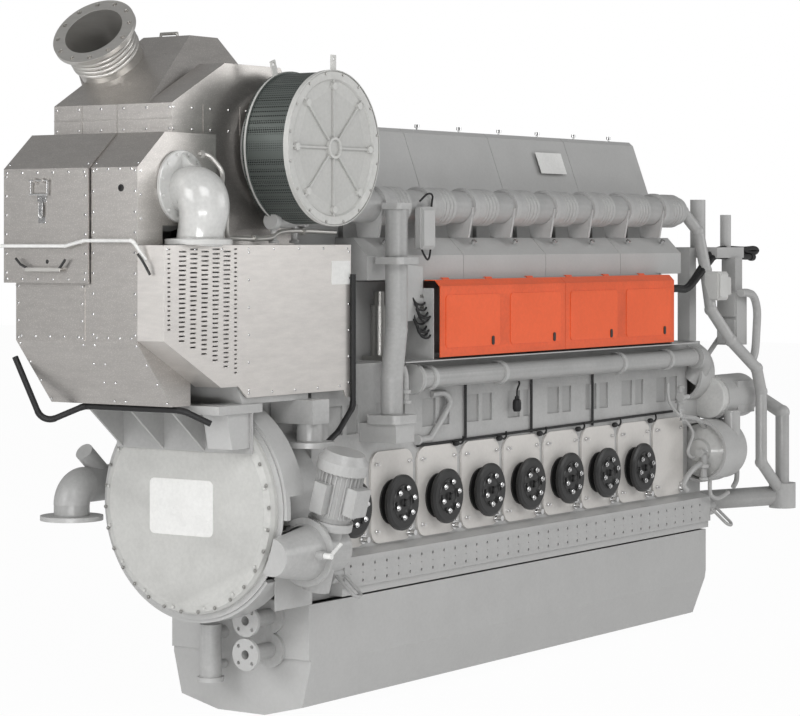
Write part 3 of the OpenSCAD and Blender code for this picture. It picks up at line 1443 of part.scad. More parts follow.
// Front cladding: two boxes side by side, the far one stopping half way down
module box_side(t, low_z) polygon([
    [box_x0 + t, low_z], [box_x0 + t, box_front_z - t / 2], [box_roof_x + t / 2, box_top_z - t],
    [box_x1 - t, box_top_z - t], [box_x1 - t, side_low_z + t], [cooler_x0 - seat_gap - t, side_low_z + t],
    [cooler_x0 - seat_gap - t, low_z == box_low_z ? box_base_z + t : low_z],
    [box_base_x + t, low_z == box_low_z ? box_base_z + t : low_z]]);
step_out = 14;
duct_hole_more = 4;
duct_hole_r = ex_r + duct_hole_more;
mouth_gap = 26;
front_hole_y = 93;
front_hole_drop = 10;
front_hole_r = 16;
module cladding_front() color(bright_sheet) difference() {
    union() {
        difference() {
            along_y(box_y0, box_y1 - box_y0) box_side(0, box_low_z);
            along_y(box_y0 + sheet, box_y1 - box_y0 - 2 * sheet) box_side(sheet, box_low_z);
            rod_y(high_x, box_y0 - over, high_z, high_bore_r + mouth_gap, 2 * sheet);
            rod_z(high_x, box_y0 - elbow_reach, elbow_low_z - sheet, elbow_low_r + sheet, elbow_low_t + 2 * sheet);
            box(box_x0 - over, box_x1 + over, box_seam_y, box_y1 + over, box_mid_z, box_top_z + over);
            rod_x(box_x0 - over, box_y0 + front_hole_y, high_z - front_hole_drop, front_hole_r, 3 * sheet);
        }
        difference() {
            along_y(box_seam_y, box_far_y - box_seam_y) step_side(0);
            along_y(box_seam_y - over, box_far_y - box_seam_y - sheet + over) step_side(sheet);
        }
        for (s = [-1, 1]) bail_ear(s);
    }
    box(high_x + foot_x0 - over, high_x + foot_x1 + over, high_foot_y0 - over, high_foot_y1 + over, side_low_z - over,
        side_low_z + sheet + over);
    rod_x(box_x1 - 2 * sheet, ex_y, ex_z, duct_hole_r, 3 * sheet);
}
ear_w = 10;
ear_y = 24;
module bail_ear(s) difference() {
    box(box_x0 - step_out - bail_out - bail_r - ear_w / 3, box_x0 - step_out + over, bail_y + s * ear_y - ear_w / 2,
        bail_y + s * ear_y + ear_w / 2, bail_z - ear_w, bail_z + ear_w);
    rod_y(box_x0 - step_out - bail_out, bail_y + s * ear_y - ear_w, bail_z, bail_r + run_gap, 2 * ear_w);
}
module step_side(t) polygon([
    [box_x0 - step_out + t, box_mid_z - t], [box_x0 - step_out + t, box_front_z - t / 2],
    [box_roof_x - step_out + t / 2, box_top_z - t], [box_x1 - t, box_top_z - t], [box_x1 - t, side_low_z + t],
    [cooler_x0 - seat_gap - t, side_low_z + t], [cooler_x0 - seat_gap - t, box_mid_z - t]]);

// Heat shield: slotted side panel, front return and slanted floor
tab_drop = 35;
tab_w = 40;
tab_slope = 60;
slot_clear = 40;
slot_in = 24;
slot_down = 22;
slot_wide_share = 1.3;
slot_shrink_share = 0.5;
module shield_outline() polygon([
    [shield_x0, shield_top_z], [shield_x1, shield_top_z], [shield_x1, shield_low_z - tab_drop],
    [shield_x1 - tab_w, shield_low_z - tab_drop], [shield_x1 - tab_slope, shield_low_z], [shield_foot_x, shield_low_z],
    [shield_cut_x, shield_cut_z], [shield_x0, shield_left_z]]);
function slot_limit(x) = shield_left_z + slot_clear
    + (shield_cut_z - shield_left_z) * (x - shield_x0) / (shield_cut_x - shield_x0);
module heat_shield() color(bright_sheet) {
    along_y(shield_y, sheet) difference() {
        shield_outline();
        for (c = [0 : slot_cols - 1], r = [0 : slot_rows - 1])
            let (x = shield_x0 + slot_in + c * slot_col_step, z = shield_top_z - slot_down - (r + (c % 2) / 2) * slot_step,
                 w = (c == 0 || c == slot_cols - 1) ? slot_w / 2 : slot_w * (slot_wide_share - slot_shrink_share * r / slot_rows))
            if (z > slot_limit(x + w)) translate([x, z]) square([w, slot_h]);
    }
    box(shield_x0, shield_x0 + sheet, shield_y + sheet - over, shield_y + shield_return, shield_left_z, shield_top_z);
    hull() {
        box(shield_x0, shield_x0 + sheet, shield_y, shield_y + shield_return, shield_left_z - sheet, shield_left_z);
        box(shield_floor_x, shield_floor_x + sheet, shield_y, shield_y + shield_return, shield_cut_z - sheet, shield_cut_z);
        box(shield_cut_x, shield_cut_x + sheet, shield_y, shield_y + sheet, shield_cut_z - sheet, shield_cut_z);
    }
}

// Charge air cooler: housing with end covers, hopper below and a round pedestal
module cooler_side(t) polygon([
    [cooler_x0 + t, cooler_z1 - t], [cooler_x1 - t, cooler_z1 - t], [cooler_x1 - t, cooler_z0 + t],
    [cooler_low_x + cooler_cut / 2 + t, cooler_z0 + t], [cooler_low_x + t, cooler_z0 + cooler_cut + t],
    [cooler_x0 + t, cooler_z0 + 2 * cooler_cut + t]]);
module charge_air_cooler() color(paint) {
    difference() {
        along_y(cooler_y0, cooler_y1 - cooler_y0) cooler_side(0);
        along_y(cooler_y0 + cooler_wall, cooler_y1 - cooler_y0 - 2 * cooler_wall) cooler_side(cooler_wall);
    }
    box(high_x - elbow_low_r, cooler_x0 + over, cooler_y0, box_y0 - seat_gap, cooler_z1 - plenum_h, cooler_z1);
    hull() {
        box(hopper_x0, hopper_x1, cooler_y0, cooler_y0 + hopper_w, cooler_z0 - seat_gap, cooler_z0 + over);
        box(hopper_x0 + hopper_w / 3, hopper_low_x1, cooler_y0, cooler_y0 + hopper_w, hopper_z, hopper_z + over);
    }
    box(column_x - column_half, column_x + column_half, column_y - column_half, cooler_y0 + hopper_w,
        cooler_z0 - column_h, cooler_z0 + over);
    rod_z(column_x, column_y, column_z0, column_r, cooler_z0 - column_h - column_z0 + over);
    rod_z(column_x, column_y, column_z0, column_flange_r, column_flange_t);
}

high_lip = 15;
high_shoulder = 50;
high_step = 40;
high_rim_a = 70;
high_rim_b = 120;
high_neck_r = 100;
high_body_a = 80;
high_body_b = 190;
high_exit_wall = 10;
high_exit_depth = 100;
high_exit_trim = 5;
module high_turbo_casing() color(paint) difference() {
    union() {
        turned_y(high_x, high_comp_y0 + seat_gap, high_z) polygon([[0, 0], [high_bore_r + high_lip, 0],
            [high_comp_r - high_shoulder, high_step], [high_comp_r, high_rim_a],
            [high_comp_r, high_rim_b], [high_comp_r - high_step, high_comp_y1 - high_comp_y0], [0, high_comp_y1 - high_comp_y0]]);
        turned_y(high_x, high_comp_y1 - over, high_z) polygon([[0, 0], [high_neck_r, 0], [high_neck_r, high_step],
            [high_turb_r, high_body_a], [high_turb_r, high_body_b],
            [high_bore_r + high_exit_wall, high_turb_y1 - high_comp_y1], [0, high_turb_y1 - high_comp_y1]]);
        box(high_x + foot_x0, high_x + foot_x1, high_foot_y0, high_foot_y1, cooler_z1 + seat_gap, high_z - high_bore_r);
    }
    rod_y(high_x, high_comp_y0 - over, high_z, high_bore_r, high_exit_depth + high_exit_wall);
    rod_y(high_x, high_comp_y0, high_z, high_shaft_r + run_gap, high_turb_y1 - high_comp_y0);
    rod_y(high_x, high_turb_y1 - high_exit_depth, high_z, high_bore_r - high_exit_trim, high_exit_depth + high_exit_wall);
}
high_rotor_in = 45;
high_rotor_out = 30;
high_blades = 10;
module high_turbo_rotor() color(steel)
    turbo_rotor(high_x, high_z, high_comp_y0 + high_rotor_in, high_turb_y1 - high_rotor_out, high_shaft_r, high_wheel_r, high_blades);

// Cast elbow from the round flange on the box down to the cooler
elbow_ball = 14;
elbow_out = 7;
elbow_wall = 14;
elbow_cross = 20;
rib_half_t = 5;
rib_len = 75;
rib_from = 60;
rib_to = 20;
module air_elbow() color(paint) difference() {
    union() {
        rod_y(high_x, box_y0 - elbow_flange_t - seat_gap, high_z, elbow_flange_r, elbow_flange_t);
        translate([high_x, box_y0 - elbow_reach, high_z]) sphere(r = elbow_r + elbow_ball);
        rod_y(high_x, box_y0 - elbow_reach, high_z, elbow_r + elbow_out, elbow_reach - elbow_flange_t);
        rod_z(high_x, box_y0 - elbow_reach, elbow_low_z, elbow_r, high_z - elbow_low_z);
        rod_z(high_x, box_y0 - elbow_reach, elbow_low_z, elbow_low_r, elbow_low_t);
        for (k = [0 : 3]) rotate_about(high_x, high_z, k * 40 - 60)
            box(high_x - rib_half_t, high_x + rib_half_t, box_y0 - rib_len, box_y0 - elbow_flange_t, high_z + rib_from,
            high_z + elbow_flange_r - rib_to);
    }
    rod_y(high_x, box_y0 - elbow_reach - elbow_cross, high_z, elbow_r - elbow_wall, elbow_cross + elbow_r + elbow_ball + over);
    rod_z(high_x, box_y0 - elbow_reach, elbow_low_z - over, elbow_r - 2 * elbow_wall, high_z - elbow_low_z + elbow_cross);
}

// White hand rail across the front box, and the bail handle with its latch
rail_bar_r = 8;
hand_rise = 1205;
hand_z = crank_z + hand_rise;
hand_out = 43;
module handrail() color("white") {
    pipe([[box_x0 - hand_out, box_far_y + 10, hand_z], [box_x0 - hand_out, 130, hand_z], [box_x0 - hand_out, 20, hand_z + 24],
          [box_x0 - hand_out, box_y0 - 10, hand_z + 24], [box_x0 - hand_out + 30, box_y0 - 60, hand_z - 60]], rail_bar_r, 25);
    for (y = [box_far_y - 60, 60, box_y0 + 60])
        rod_x(box_x0 - hand_out, y, y > 100 ? hand_z : hand_z + (y > 30 ? 15 : 24), rail_bar_r - 2,
              hand_out - (y > 30 ? step_out : 0) - seat_gap);
}
bail_out = 12;
bail_w = 108;
bail_h = 62;
bail_r = 5;
bail_y = 300;
bail_rise = 1497;
bail_z = crank_z + bail_rise;
module bail_handle() color(steel) translate([box_x0 - step_out - bail_out, bail_y, bail_z]) {
    rotate([90, 0, 0]) translate([0, 0, -bail_w / 2]) cylinder(r = bail_r, h = bail_w);
    for (s = [-1, 1]) translate([0, s * (bail_w / 2 - bail_r), -bail_h]) cylinder(r = bail_r - 0.5, h = bail_h);
    rotate([90, 0, 0]) translate([0, -bail_h, -bail_w / 2]) cylinder(r = bail_r, h = bail_w);
}

// Flywheel housing with the bracket that carries the cooler and the turbochargers
big_x1_ahead = 560;
big_x1 = x_first - big_x1_ahead;
small_r = 400;
near_table_y = -236;
pad_y = 440;
pad_half = 80;
crank_hole_r = main_bore_r + housing_wall;
module housing_round(r_big, r_small, t) {
    rod_x(cover_x + cover_depth - (t > 0 ? over : 0), 0, crank_z, r_big, big_x1 - cover_x - cover_depth - t);
    rod_x(cover_x + cover_depth, 0, crank_z, r_small, block_x0 - cover_x - cover_depth - seat_gap - t);
}
module flywheel_housing() color(paint) {
    difference() {
        union() {
            housing_round(housing_r, small_r, 0);
            box(cover_x + cover_depth, block_x0 - seat_gap, near_table_y, table_half, crank_z, table_z0 + table_t);
            box(outlet_foot_x - pad_half, outlet_foot_x + pad_half, 0, pad_y, outlet_elbow_z, outlet_elbow_z + 2 * pad_half);
        }
        intersection() {
            housing_round(housing_r - housing_wall, small_r - housing_wall, housing_wall - over);
            box(cover_x, block_x0, -housing_r, housing_r, 0, table_z0 + table_t - housing_wall / 2);
        }
        box(cover_x, big_x1 + over, -housing_r, housing_r, table_z0 + table_t, crank_z + housing_r + over);
        rod_x(cover_x, 0, crank_z, crank_hole_r, 2 * (block_x0 - cover_x));
        box(flywheel_x - housing_wall, flywheel_x + window_w, -housing_r - over, -flywheel_r / 2,
            crank_z + window_z0, crank_z + window_z0 + window_h);
        rod_x(cover_x, pinion_y, pinion_z, bell_r1 + seat_gap, bell_x1 - cover_x + pinion_w);
    }
    difference() {
        box(table_x0, cover_x + cover_depth + over, -table_half, table_half, table_z0, table_z0 + table_t);
        box(hopper_x0 - seat_gap, hopper_x1, cooler_y0 - seat_gap, cooler_y0 + hopper_w + seat_gap, hopper_z,
            cooler_z0);
    }
    difference() {
        box(cover_x - 2 * apron_t, cover_x - apron_t, -table_half, table_half, crank_z + apron_low, table_z0 + over);
        box(hopper_x0, cover_x, cooler_y0 - seat_gap, cooler_y0 + hopper_w + seat_gap, hopper_z - over, cooler_z0);
    }
    for (y = gusset_ys) along_y(y, gusset_t) polygon([[table_x0 + gusset_t, table_z0 + over],
        [cover_x - apron_t - over, table_z0 + over], [cover_x - apron_t - over, crank_z + apron_low]]);
}

bolt_r = 7;
bolt_count = 16;
bolt_in = 26;
cover_round = 10;
module flywheel_cover() color(paint) difference() {
    union() {
        turned_x(cover_x, 0, crank_z) polygon([[0, 0], [cover_r - cover_lip_r, 0], [cover_r - cover_round, cover_round],
            [cover_r, 3 * cover_round], [cover_r, cover_depth - seat_gap], [0, cover_depth - seat_gap]]);
        for (k = [0 : bolt_count - 1]) translate([cover_x - bolt_r / 2, 0, crank_z])
            rotate([(k + 0.4) * 360 / bolt_count, 0, 0]) translate([0, cover_r - bolt_in, 0]) rotate([0, 90, 0])
                cylinder(r = bolt_r, h = bolt_r);
    }
    rod_x(cover_x + cover_round, 0, crank_z, cover_r - 2 * cover_round, cover_depth);
    box(cover_x - cover_lip_r, cover_x + 2 * cover_depth, -cover_r, cover_r, table_z0 - seat_gap, crank_z + 2 * cover_r);
}

// Turning gear: motor above, worm box, pinion housing reaching to the ring gear
shaft_end = 60;
worm_shift = 20;
motor_neck = 10;
motor_body_z = 40;
fin_sink = 4;
fin_short = 10;
cowl_share = 0.55;
cowl_in = 28;
terminal_half = 55;
terminal_out = 48;
terminal_z = 70;
terminal_tall = 130;
side_out = 45;
side_half = 35;
side_tall = 140;
rotor_clear = 4;
rotor_bore_more = 100;
fan_drop = 6;
fan_wall = 34;
fan_rise = 8;
fan_blades = 7;
fan_t = 4;
fan_in = 42;
fan_w = 30;
rotor_from = 30;
rotor_past = 50;
module worm_frame() translate([worm_x, pinion_y - worm_shift, pinion_z]) rotate([worm_tilt, 0, 0]) children();
module turning_motor() color(paint) worm_frame() translate([0, 0, gearbox_up + seat_gap]) difference() {
    union() {
        cylinder(r = motor_flange_r, h = motor_flange_t);
        translate([0, 0, motor_flange_t - over]) cylinder(r = motor_r - motor_neck, h = motor_low);
        translate([0, 0, motor_body_z]) cylinder(r = motor_r, h = motor_len);
        for (k = [0 : fin_count - 1]) rotate([0, 0, k * 360 / fin_count])
            translate([motor_r - fin_sink, -fin_t / 2, motor_body_z + fin_t]) cube([fin_h, fin_t, motor_len - fin_short]);
        translate([0, 0, motor_body_z + motor_len]) cylinder(r = cowl_r, h = cowl_len * cowl_share);
        translate([0, 0, motor_body_z + motor_len + cowl_len * cowl_share - over / 20])
            cylinder(r1 = cowl_r, r2 = cowl_r - cowl_in, h = cowl_len * (1 - cowl_share));
        translate([-terminal_half, -motor_r - terminal_out, terminal_z])
            cube([2 * terminal_half, shaft_end, terminal_tall]);
        translate([-motor_r - side_out, -side_half, shaft_end]) cube([shaft_end, 2 * side_half, side_tall]);
    }
    translate([0, 0, -over]) cylinder(r = rotor_r + rotor_clear, h = motor_len + rotor_bore_more);
    translate([0, 0, motor_body_z + motor_len - fan_drop]) cylinder(r = cowl_r - fan_wall, h = cowl_len);
}
module motor_rotor() color(steel) worm_frame() {
    translate([0, 0, rotor_from]) cylinder(r = rotor_r, h = gearbox_up + motor_len + rotor_past);
    translate([0, 0, gearbox_up + motor_body_z + motor_len + fan_rise])
        for (k = [0 : fan_blades - 1]) rotate([0, 0, k * 360 / fan_blades])
        translate([0, -fan_t / 2, 0]) cube([cowl_r - fan_in, fan_t, fan_w]);
}
gearbox_cap = 20;
bell_rim_t = 14;
bell_taper = 25;
gearbox_bore_z = 10;
gearbox_bore_len = 50;
pinion_clear = 16;
shaft_past = 40;
module turning_gearbox() color(paint) {
    difference() {
        union() {
            worm_frame() {
                translate([0, 0, -gearbox_low]) cylinder(r = gearbox_r, h = gearbox_low + gearbox_up);
                translate([0, 0, gearbox_up - gearbox_cap]) cylinder(r = motor_flange_r, h = gearbox_cap);
            }
            rod_x(bell_x1, pinion_y, pinion_z, gear_drum_r, worm_x + motor_r - bell_x1);
            rod_y(lever_x, lever_y + seat_gap, lever_z, 2 * lever_shaft_r, bell_r1 - bell_r0);
            rod_x(bell_x1 - bell_rim_t, pinion_y, pinion_z, bell_r1, bell_rim_t + over);
            translate([bell_x0, pinion_y, pinion_z]) rotate([0, 90, 0])
                cylinder(r1 = bell_r0, r2 = bell_r1 - bell_taper, h = bell_x1 - bell_x0);
        }
        worm_frame() translate([0, 0, gearbox_bore_z]) cylinder(r = rotor_r + run_gap, h = gearbox_up + gearbox_bore_len);
        translate([bell_x0 + bell_wall, pinion_y, pinion_z]) rotate([0, 90, 0])
            cylinder(r1 = bell_r0 - bell_wall, r2 = bell_r1 - bell_taper - bell_wall, h = bell_x1 - bell_x0 - 2 * bell_wall);
        rod_x(bell_x1 - 3 * bell_wall, pinion_y, pinion_z, pinion_r + pinion_clear, 5 * bell_wall);
        rod_x(bell_x1, pinion_y, pinion_z, pinion_shaft_r + run_gap, worm_x + shaft_end - bell_x1);
        rod_x(cover_x - cover_lip_r, 0, crank_z, housing_r + over, big_x1 - cover_x + cover_lip_r + over);
        rod_y(lever_x, lever_y, lever_z, lever_shaft_r + run_gap, lever_shaft_len + over);
    }
}
pinion_x = flywheel_x + flywheel_w - ring_w + pinion_park;
module pinion_shaft() color(steel) rod_x(bell_x0 + bell_wall + over / 2, pinion_y, pinion_z, pinion_shaft_r, worm_x + shaft_past - bell_x0);
module turning_pinion() color(steel) difference() {
    gear_x(pinion_x, pinion_y, pinion_z, pinion_teeth, ring_module, pinion_drop + 180 / pinion_teeth, pinion_w);
    rod_x(pinion_x - over, pinion_y, pinion_z, pinion_shaft_r + run_gap, pinion_w + 2 * over);
}
lever_out = 40;
lever_y = pinion_y - bell_r1;
lever_z = pinion_z;
lever_shaft_r = 10;
lever_shaft_len = 30;
module turning_lever() color("white") translate([lever_x, lever_y, lever_z]) {
    rotate([-90, 0, 0]) cylinder(r = lever_shaft_r, h = lever_shaft_len);
    rotate([90, 0, 0]) cylinder(r = 1.4 * lever_shaft_r, h = lever_out);
    translate([0, lever_r - lever_out, 0]) rotate([0, 60, 0]) cylinder(r = lever_r, h = lever_len);
}

// Flanged drain stubs and drain pot at the sump's front, and the water outlet elbow on the far side
module drain_stub(z) difference() {
    union() {
        rod_x(sump_x0 - sump_flange_h - stub_t - seat_gap, stub_y, z, stub_base_r, stub_t);
        rod_x(sump_x0 - sump_flange_h - stub_len, stub_y, z, stub_pipe_r, stub_len - stub_t / 2);
        rod_x(sump_x0 - sump_flange_h - stub_len, stub_y, z, stub_flange_r, stub_t);
    }
    rod_x(sump_x0 - sump_flange_h - stub_len - over, stub_y, z, stub_bore_r, stub_len + stub_t);
    for (k = [0 : 3]) translate([0, stub_y, z]) rotate([k * 90 + 45, 0, 0])
        rod_x(sump_x0 - sump_flange_h - stub_len - over, stub_pcr, 0, stub_hole_r, stub_t + 2 * over);
}
pot_arm = 60;
module flanged_connections() color(paint) {
    for (i = [0, 1]) drain_stub(stub_z - i * stub_step);
    rod_z(pot_x, pot_y, pot_z0, pot_r, pot_h);
    rod_z(pot_x, pot_y, pot_z0 - 20, pot_r + 12, 22);
    rod_x(pot_x, pot_y, pot_z0 + pot_h - 50, 30, sump_x0 - sump_flange_h - pot_x - seat_gap);
    rod_x(pot_x, pot_y, pot_z0 + 50, 22, sump_x0 - sump_flange_h - pot_x - seat_gap);
    difference() {
        union() {
            pipe([[outlet_foot_x, pad_y + seat_gap, outlet_elbow_z + pad_half],
                  [outlet_foot_x, outlet_elbow_y, outlet_elbow_z + pad_half],
                  [outlet_elbow_x, outlet_elbow_y, outlet_elbow_z + pad_half],
                  [outlet_elbow_x, outlet_elbow_y, outlet_elbow_z - pad_half]], outlet_pipe_r, outlet_pipe_r + over);
            rod_z(outlet_elbow_x, outlet_elbow_y, outlet_elbow_z - pad_half, outlet_flange2_r, outlet_flange2_t);
            run([outlet_foot_x - outlet_pipe_r, outlet_elbow_y, outlet_elbow_z + pad_half],
                [outlet_elbow_x + outlet_pipe_r, outlet_elbow_y - over, outlet_elbow_z + 3 * pad_half],
                outlet_pipe_r / 2 + over);
        }
        rod_z(outlet_elbow_x, outlet_elbow_y, outlet_elbow_z - pad_half - over, outlet_pipe_r - pipe_wall, pad_half);
    }
}

// Free end: case round the gears, pumps and pipes
case_low_z = sump_top;
case_bulge_r = 182;
module case_shape(t) {
    polygon([[-wall_half + t, case_low_z + t], [wall_half - t, case_low_z + t], [wall_half - t, shelf_z - t],
             [-wall_half + t, shelf_z - t]]);
    translate([-cam_y, cam_z]) circle(r = case_bulge_r - t);
    translate([pump_y, pump_z]) circle(r = case_bulge_r - t);
}
module free_end_case() color(paint) {
    difference() {
        along_x(block_x1 + seat_gap, case_x1 - block_x1 - seat_gap) case_shape(0);
        along_x(block_x1 - over, case_x1 - block_x1 - case_wall) case_shape(case_wall);
        rod_x(case_x1 - 2 * case_wall, pump_y, pump_z, shaft_r + run_gap, 3 * case_wall);
    }
    for (s = [-1, 1]) {
        rod_x(rail_x1 + seat_gap, s * (wall_half + lug_r), lug_z, lug_r, lug_len);
        box(rail_x1 + seat_gap, rail_x1 + lug_len, s * wall_half - lug_r, s * wall_half + lug_r, lug_z - lug_r,
            lug_z + lug_r);
    }
}

impeller_r = 120;
module pump_casings() color(paint) {
    difference() {
        union() {
            rod_x(volute_x, pump_y, pump_z, volute_r, volute_w);
            rod_x(volute_x + volute_w - over, pump_y, pump_z, volute_r * 0.6, 40);
            rod_x(volute_x + 60, pump_y, pump_z, volute_r * 0.4, 170);
            rod_z(volute_x + volute_w / 2, pump_y - 105, pump_z, 48, 230);
        }
        rod_x(volute_x - over, pump_y, pump_z, impeller_r + 6, volute_w - 20);
    }
    rod_x(canister_x0, canister_y, canister_z, canister_r, canister_x1 - canister_x0);
    box(canister_x0 + 120, canister_x1 - 30, canister_y - canister_r + 10, canister_y + canister_r, canister_z - 95, canister_z + 95);
    box(case_x1 + seat_gap, canister_x0 + 60, canister_y + 30, -wall_half + 60, canister_z - 60, canister_z + 60);
    box(thermo_x0, thermo_x1, thermo_y0, thermo_y1, thermo_z0, thermo_z1);
    box(block2_x0, block2_x1, block2_y0, block2_y1, block2_z0, block2_z1);
    box(block2_x0 + 20, block2_x1 - 20, block2_y0 + 20, block2_y1 - 20, block2_z1 - over, thermo_z0 + over);
    for (j = [0, 1]) box(block2_x0 - 12, block2_x0 + over, block2_y0 + 8, block2_y1 - 8,
        block2_z0 + 10 + j * 158, block2_z0 + 152 + j * 158);
    box(case_x1 - 100, case_x1 - 20, -330, -250, cam_z + case_bulge_r + seat_gap, thermo_z1 - over);
    box(case_x1 - 30, thermo_x0 + over, -330, -250, thermo_z0 + over, thermo_z1 - over);
}
module pump_rotor() color(steel) {
    gear_x(gear3_x, pump_y, pump_z, pump_teeth, pump_module, 180 / pump_teeth, gear3_w);
    rod_x(gear3_x - over, pump_y, pump_z, shaft_r, volute_x + 60 - gear3_x);
    rod_x(volute_x + 30, pump_y, pump_z, impeller_r, 12);
    for (k = [0 : 5]) translate([volute_x + 42 - over, pump_y, pump_z]) rotate([k * 60, 0, 0])
        translate([0, shaft_r, -4]) cube([30, impeller_r - shaft_r - 4, 8]);
}

manifold_x1 = x_last - flange_shift + pitch - manifold_end + pipe_wall;
down_pts = [[manifold_x1 + seat_gap, manifold_y, manifold_z], [manifold_x1 + 90, manifold_y, manifold_z],
    [x_last + 285, -400, crank_z + 1280], [x_last + 300, -440, crank_z + 1055], [x_last + 290, -480, crank_z + 825],
    [x_last + 385, -560, crank_z + 645], [x_last + 660, -590, crank_z + 470], [x_last + 720, -590, crank_z + 330],
    [x_last + 720, -590, crank_z - 90], [x_last + 980, -600, crank_z - 300]];
joint_along = 980;
joint_x = x_last + joint_along;
joint_y = -600;
joint_drop = 380;
joint_z = crank_z - joint_drop;
joint_r = 80;
joint_h = 150;
module free_end_pipes() color(paint) {
    knee_pipe(down_pts, down_r);
    rod_z(riser1_x, riser1_y, thermo_z1 + seat_gap, riser1_r, riser1_z - thermo_z1);
    rod_z(riser2_x, riser2_y, thermo_z1 + seat_gap, riser2_r, riser2_z - thermo_z1);
    rod_z(joint_x, joint_y, joint_z, joint_r, joint_h);
    knee_pipe([[joint_x, joint_y, joint_z + joint_h - over], [joint_x, joint_y, canister_z - return_drop],
        [joint_x, canister_y, canister_z], [canister_x1 + seat_gap, canister_y, canister_z]], return_r);
    pipe([[case_x1 + seat_gap, lower_pipe_y, lower_pipe_z], [x_last + lower_pipe_x, lower_pipe_y, lower_pipe_z],
        [joint_x, joint_y, joint_z + joint_h / 2]], lower_pipe_r, lower_bend);
}

// Electric cables: harness along the doors, and the trunk beside the heat shield
cable_r = 7;
cable_y = -355;
harness_rise = 225;
harness_z = crank_z + harness_rise;
trunk_r = 14;
trunk_y = shield_y - trunk_r - seat_gap;
trunk_more = 40;
trunk_x = box_base_x + trunk_more;
trunk_z = box_base_z - trunk_r - over;
module cable_harness() color(dark) {
    pipe([[x_first + 620, cable_y, harness_z - 15], [x_last + 50, cable_y, harness_z + 15]], cable_r, 20);
    for (k = [0 : 2]) pipe([[x_first + 1060 + 640 * k, cable_y, hot_low_z - 60], [x_first + 1060 + 640 * k, cable_y, harness_z - 15]],
        cable_r, 20);
    pipe([[shield_x1 - latch_bar_t, trunk_y, shield_top_z - 140], [shield_x1 - latch_bar_t, trunk_y, shield_low_z - 80],
          [shield_x1 - 120, trunk_y, shield_low_z - 190], [shield_x1 - 215, trunk_y, shield_low_z - 240]], trunk_r, 60);
    pipe([[box_x0 + 60, box_far_y, box_low_z - 80], [box_base_x - 60, box_y1, trunk_z - 80], [trunk_x, 300, trunk_z],
          [trunk_x, -280, trunk_z], [table_x0 - 20, -370, trunk_z - 60]], trunk_r, 60);
}

engine_block();
oil_sump();
mounting_rails();
lashing_loops();
main_bearing_caps();
crankshaft();
big_end_bearings();
flywheel();
pistons_and_rods();
cylinder_liners();
cylinder_heads();
exhaust_manifold();
camshaft();
idler_gear();
injection_pumps();
hood_panels();
fasteners();
air_manifold();
pipe_brackets();
valve_gear_cover();
hot_box_tray();
hot_box_cover_left();
hot_box_cover_right();
hot_box_latch_1();
hot_box_latch_2();
hot_box_latch_3();
hot_box_latch_4();
coolant_pipe();
stand_pipe();
crankcase_doors();
relief_valve_covers();
relief_valve_plates();
lp_turbo_casing();
lp_turbo_rotor();
filter_drum();
filter_cover();
exhaust_outlet();
cladding_top();
cladding_front();
heat_shield();
charge_air_cooler();
high_turbo_casing();
high_turbo_rotor();
air_elbow();
handrail();
bail_handle();
flywheel_housing();
flywheel_cover();
turning_motor();
motor_rotor();
turning_gearbox();
pinion_shaft();
turning_pinion();
turning_lever();
flanged_connections();
free_end_case();
pump_casings();
pump_rotor();
free_end_pipes();
cable_harness();
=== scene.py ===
"""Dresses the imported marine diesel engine: materials, small details, studio and camera.

Build and the details take millimetres; Blender, the lights and the camera take metres.
"""
import json
import math

import bmesh
import bpy
from mathutils import Matrix, Vector


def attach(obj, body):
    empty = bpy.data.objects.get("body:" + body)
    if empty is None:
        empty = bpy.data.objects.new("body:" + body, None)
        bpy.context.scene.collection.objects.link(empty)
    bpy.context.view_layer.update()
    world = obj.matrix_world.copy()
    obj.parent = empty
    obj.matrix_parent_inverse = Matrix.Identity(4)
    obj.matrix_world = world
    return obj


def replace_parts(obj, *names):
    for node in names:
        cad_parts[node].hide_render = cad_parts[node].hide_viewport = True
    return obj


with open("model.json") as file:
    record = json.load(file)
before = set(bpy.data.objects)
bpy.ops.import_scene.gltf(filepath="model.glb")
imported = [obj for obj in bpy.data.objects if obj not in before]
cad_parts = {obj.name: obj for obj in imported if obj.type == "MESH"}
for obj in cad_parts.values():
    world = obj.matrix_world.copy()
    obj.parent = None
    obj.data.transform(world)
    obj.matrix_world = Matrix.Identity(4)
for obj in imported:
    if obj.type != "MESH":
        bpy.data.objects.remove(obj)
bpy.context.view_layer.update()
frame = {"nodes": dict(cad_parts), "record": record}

MM = 0.001
NODES = frame["nodes"]
RECORD = frame["record"]

# How paint and sheet vary: factors of the base colour, shares of a mix, lengths in metres
MOTTLE_DARK, MOTTLE_LIGHT = 0.93, 1.05
EDGE_LIGHT, EDGE_SHARE = 1.25, 0.45
# Painted shade in the concave corners of paint: the darker copy's factor and its largest share
CORNER_SHADE_DARK, CORNER_SHADE_SHARE = 0.55, 0.35
PAINT_SPECULAR = 0.5
PEEL_STRENGTH, PEEL_DEPTH = 0.042, 0.002
BEVEL_SAMPLES = 4
PAINT_BEVEL, SHEET_BEVEL = 0.0015, 0.002


# Colours and materials
def srgb(r, g, b):
    """Screen values 0 to 255 as a linear colour."""
    def one(v):
        v /= 255
        return v / 12.92 if v <= 0.04045 else ((v + 0.055) / 1.055) ** 2.4
    return (one(r), one(g), one(b), 1.0)


def grey(value):
    """A linear grey."""
    return (value, value, value, 1.0)


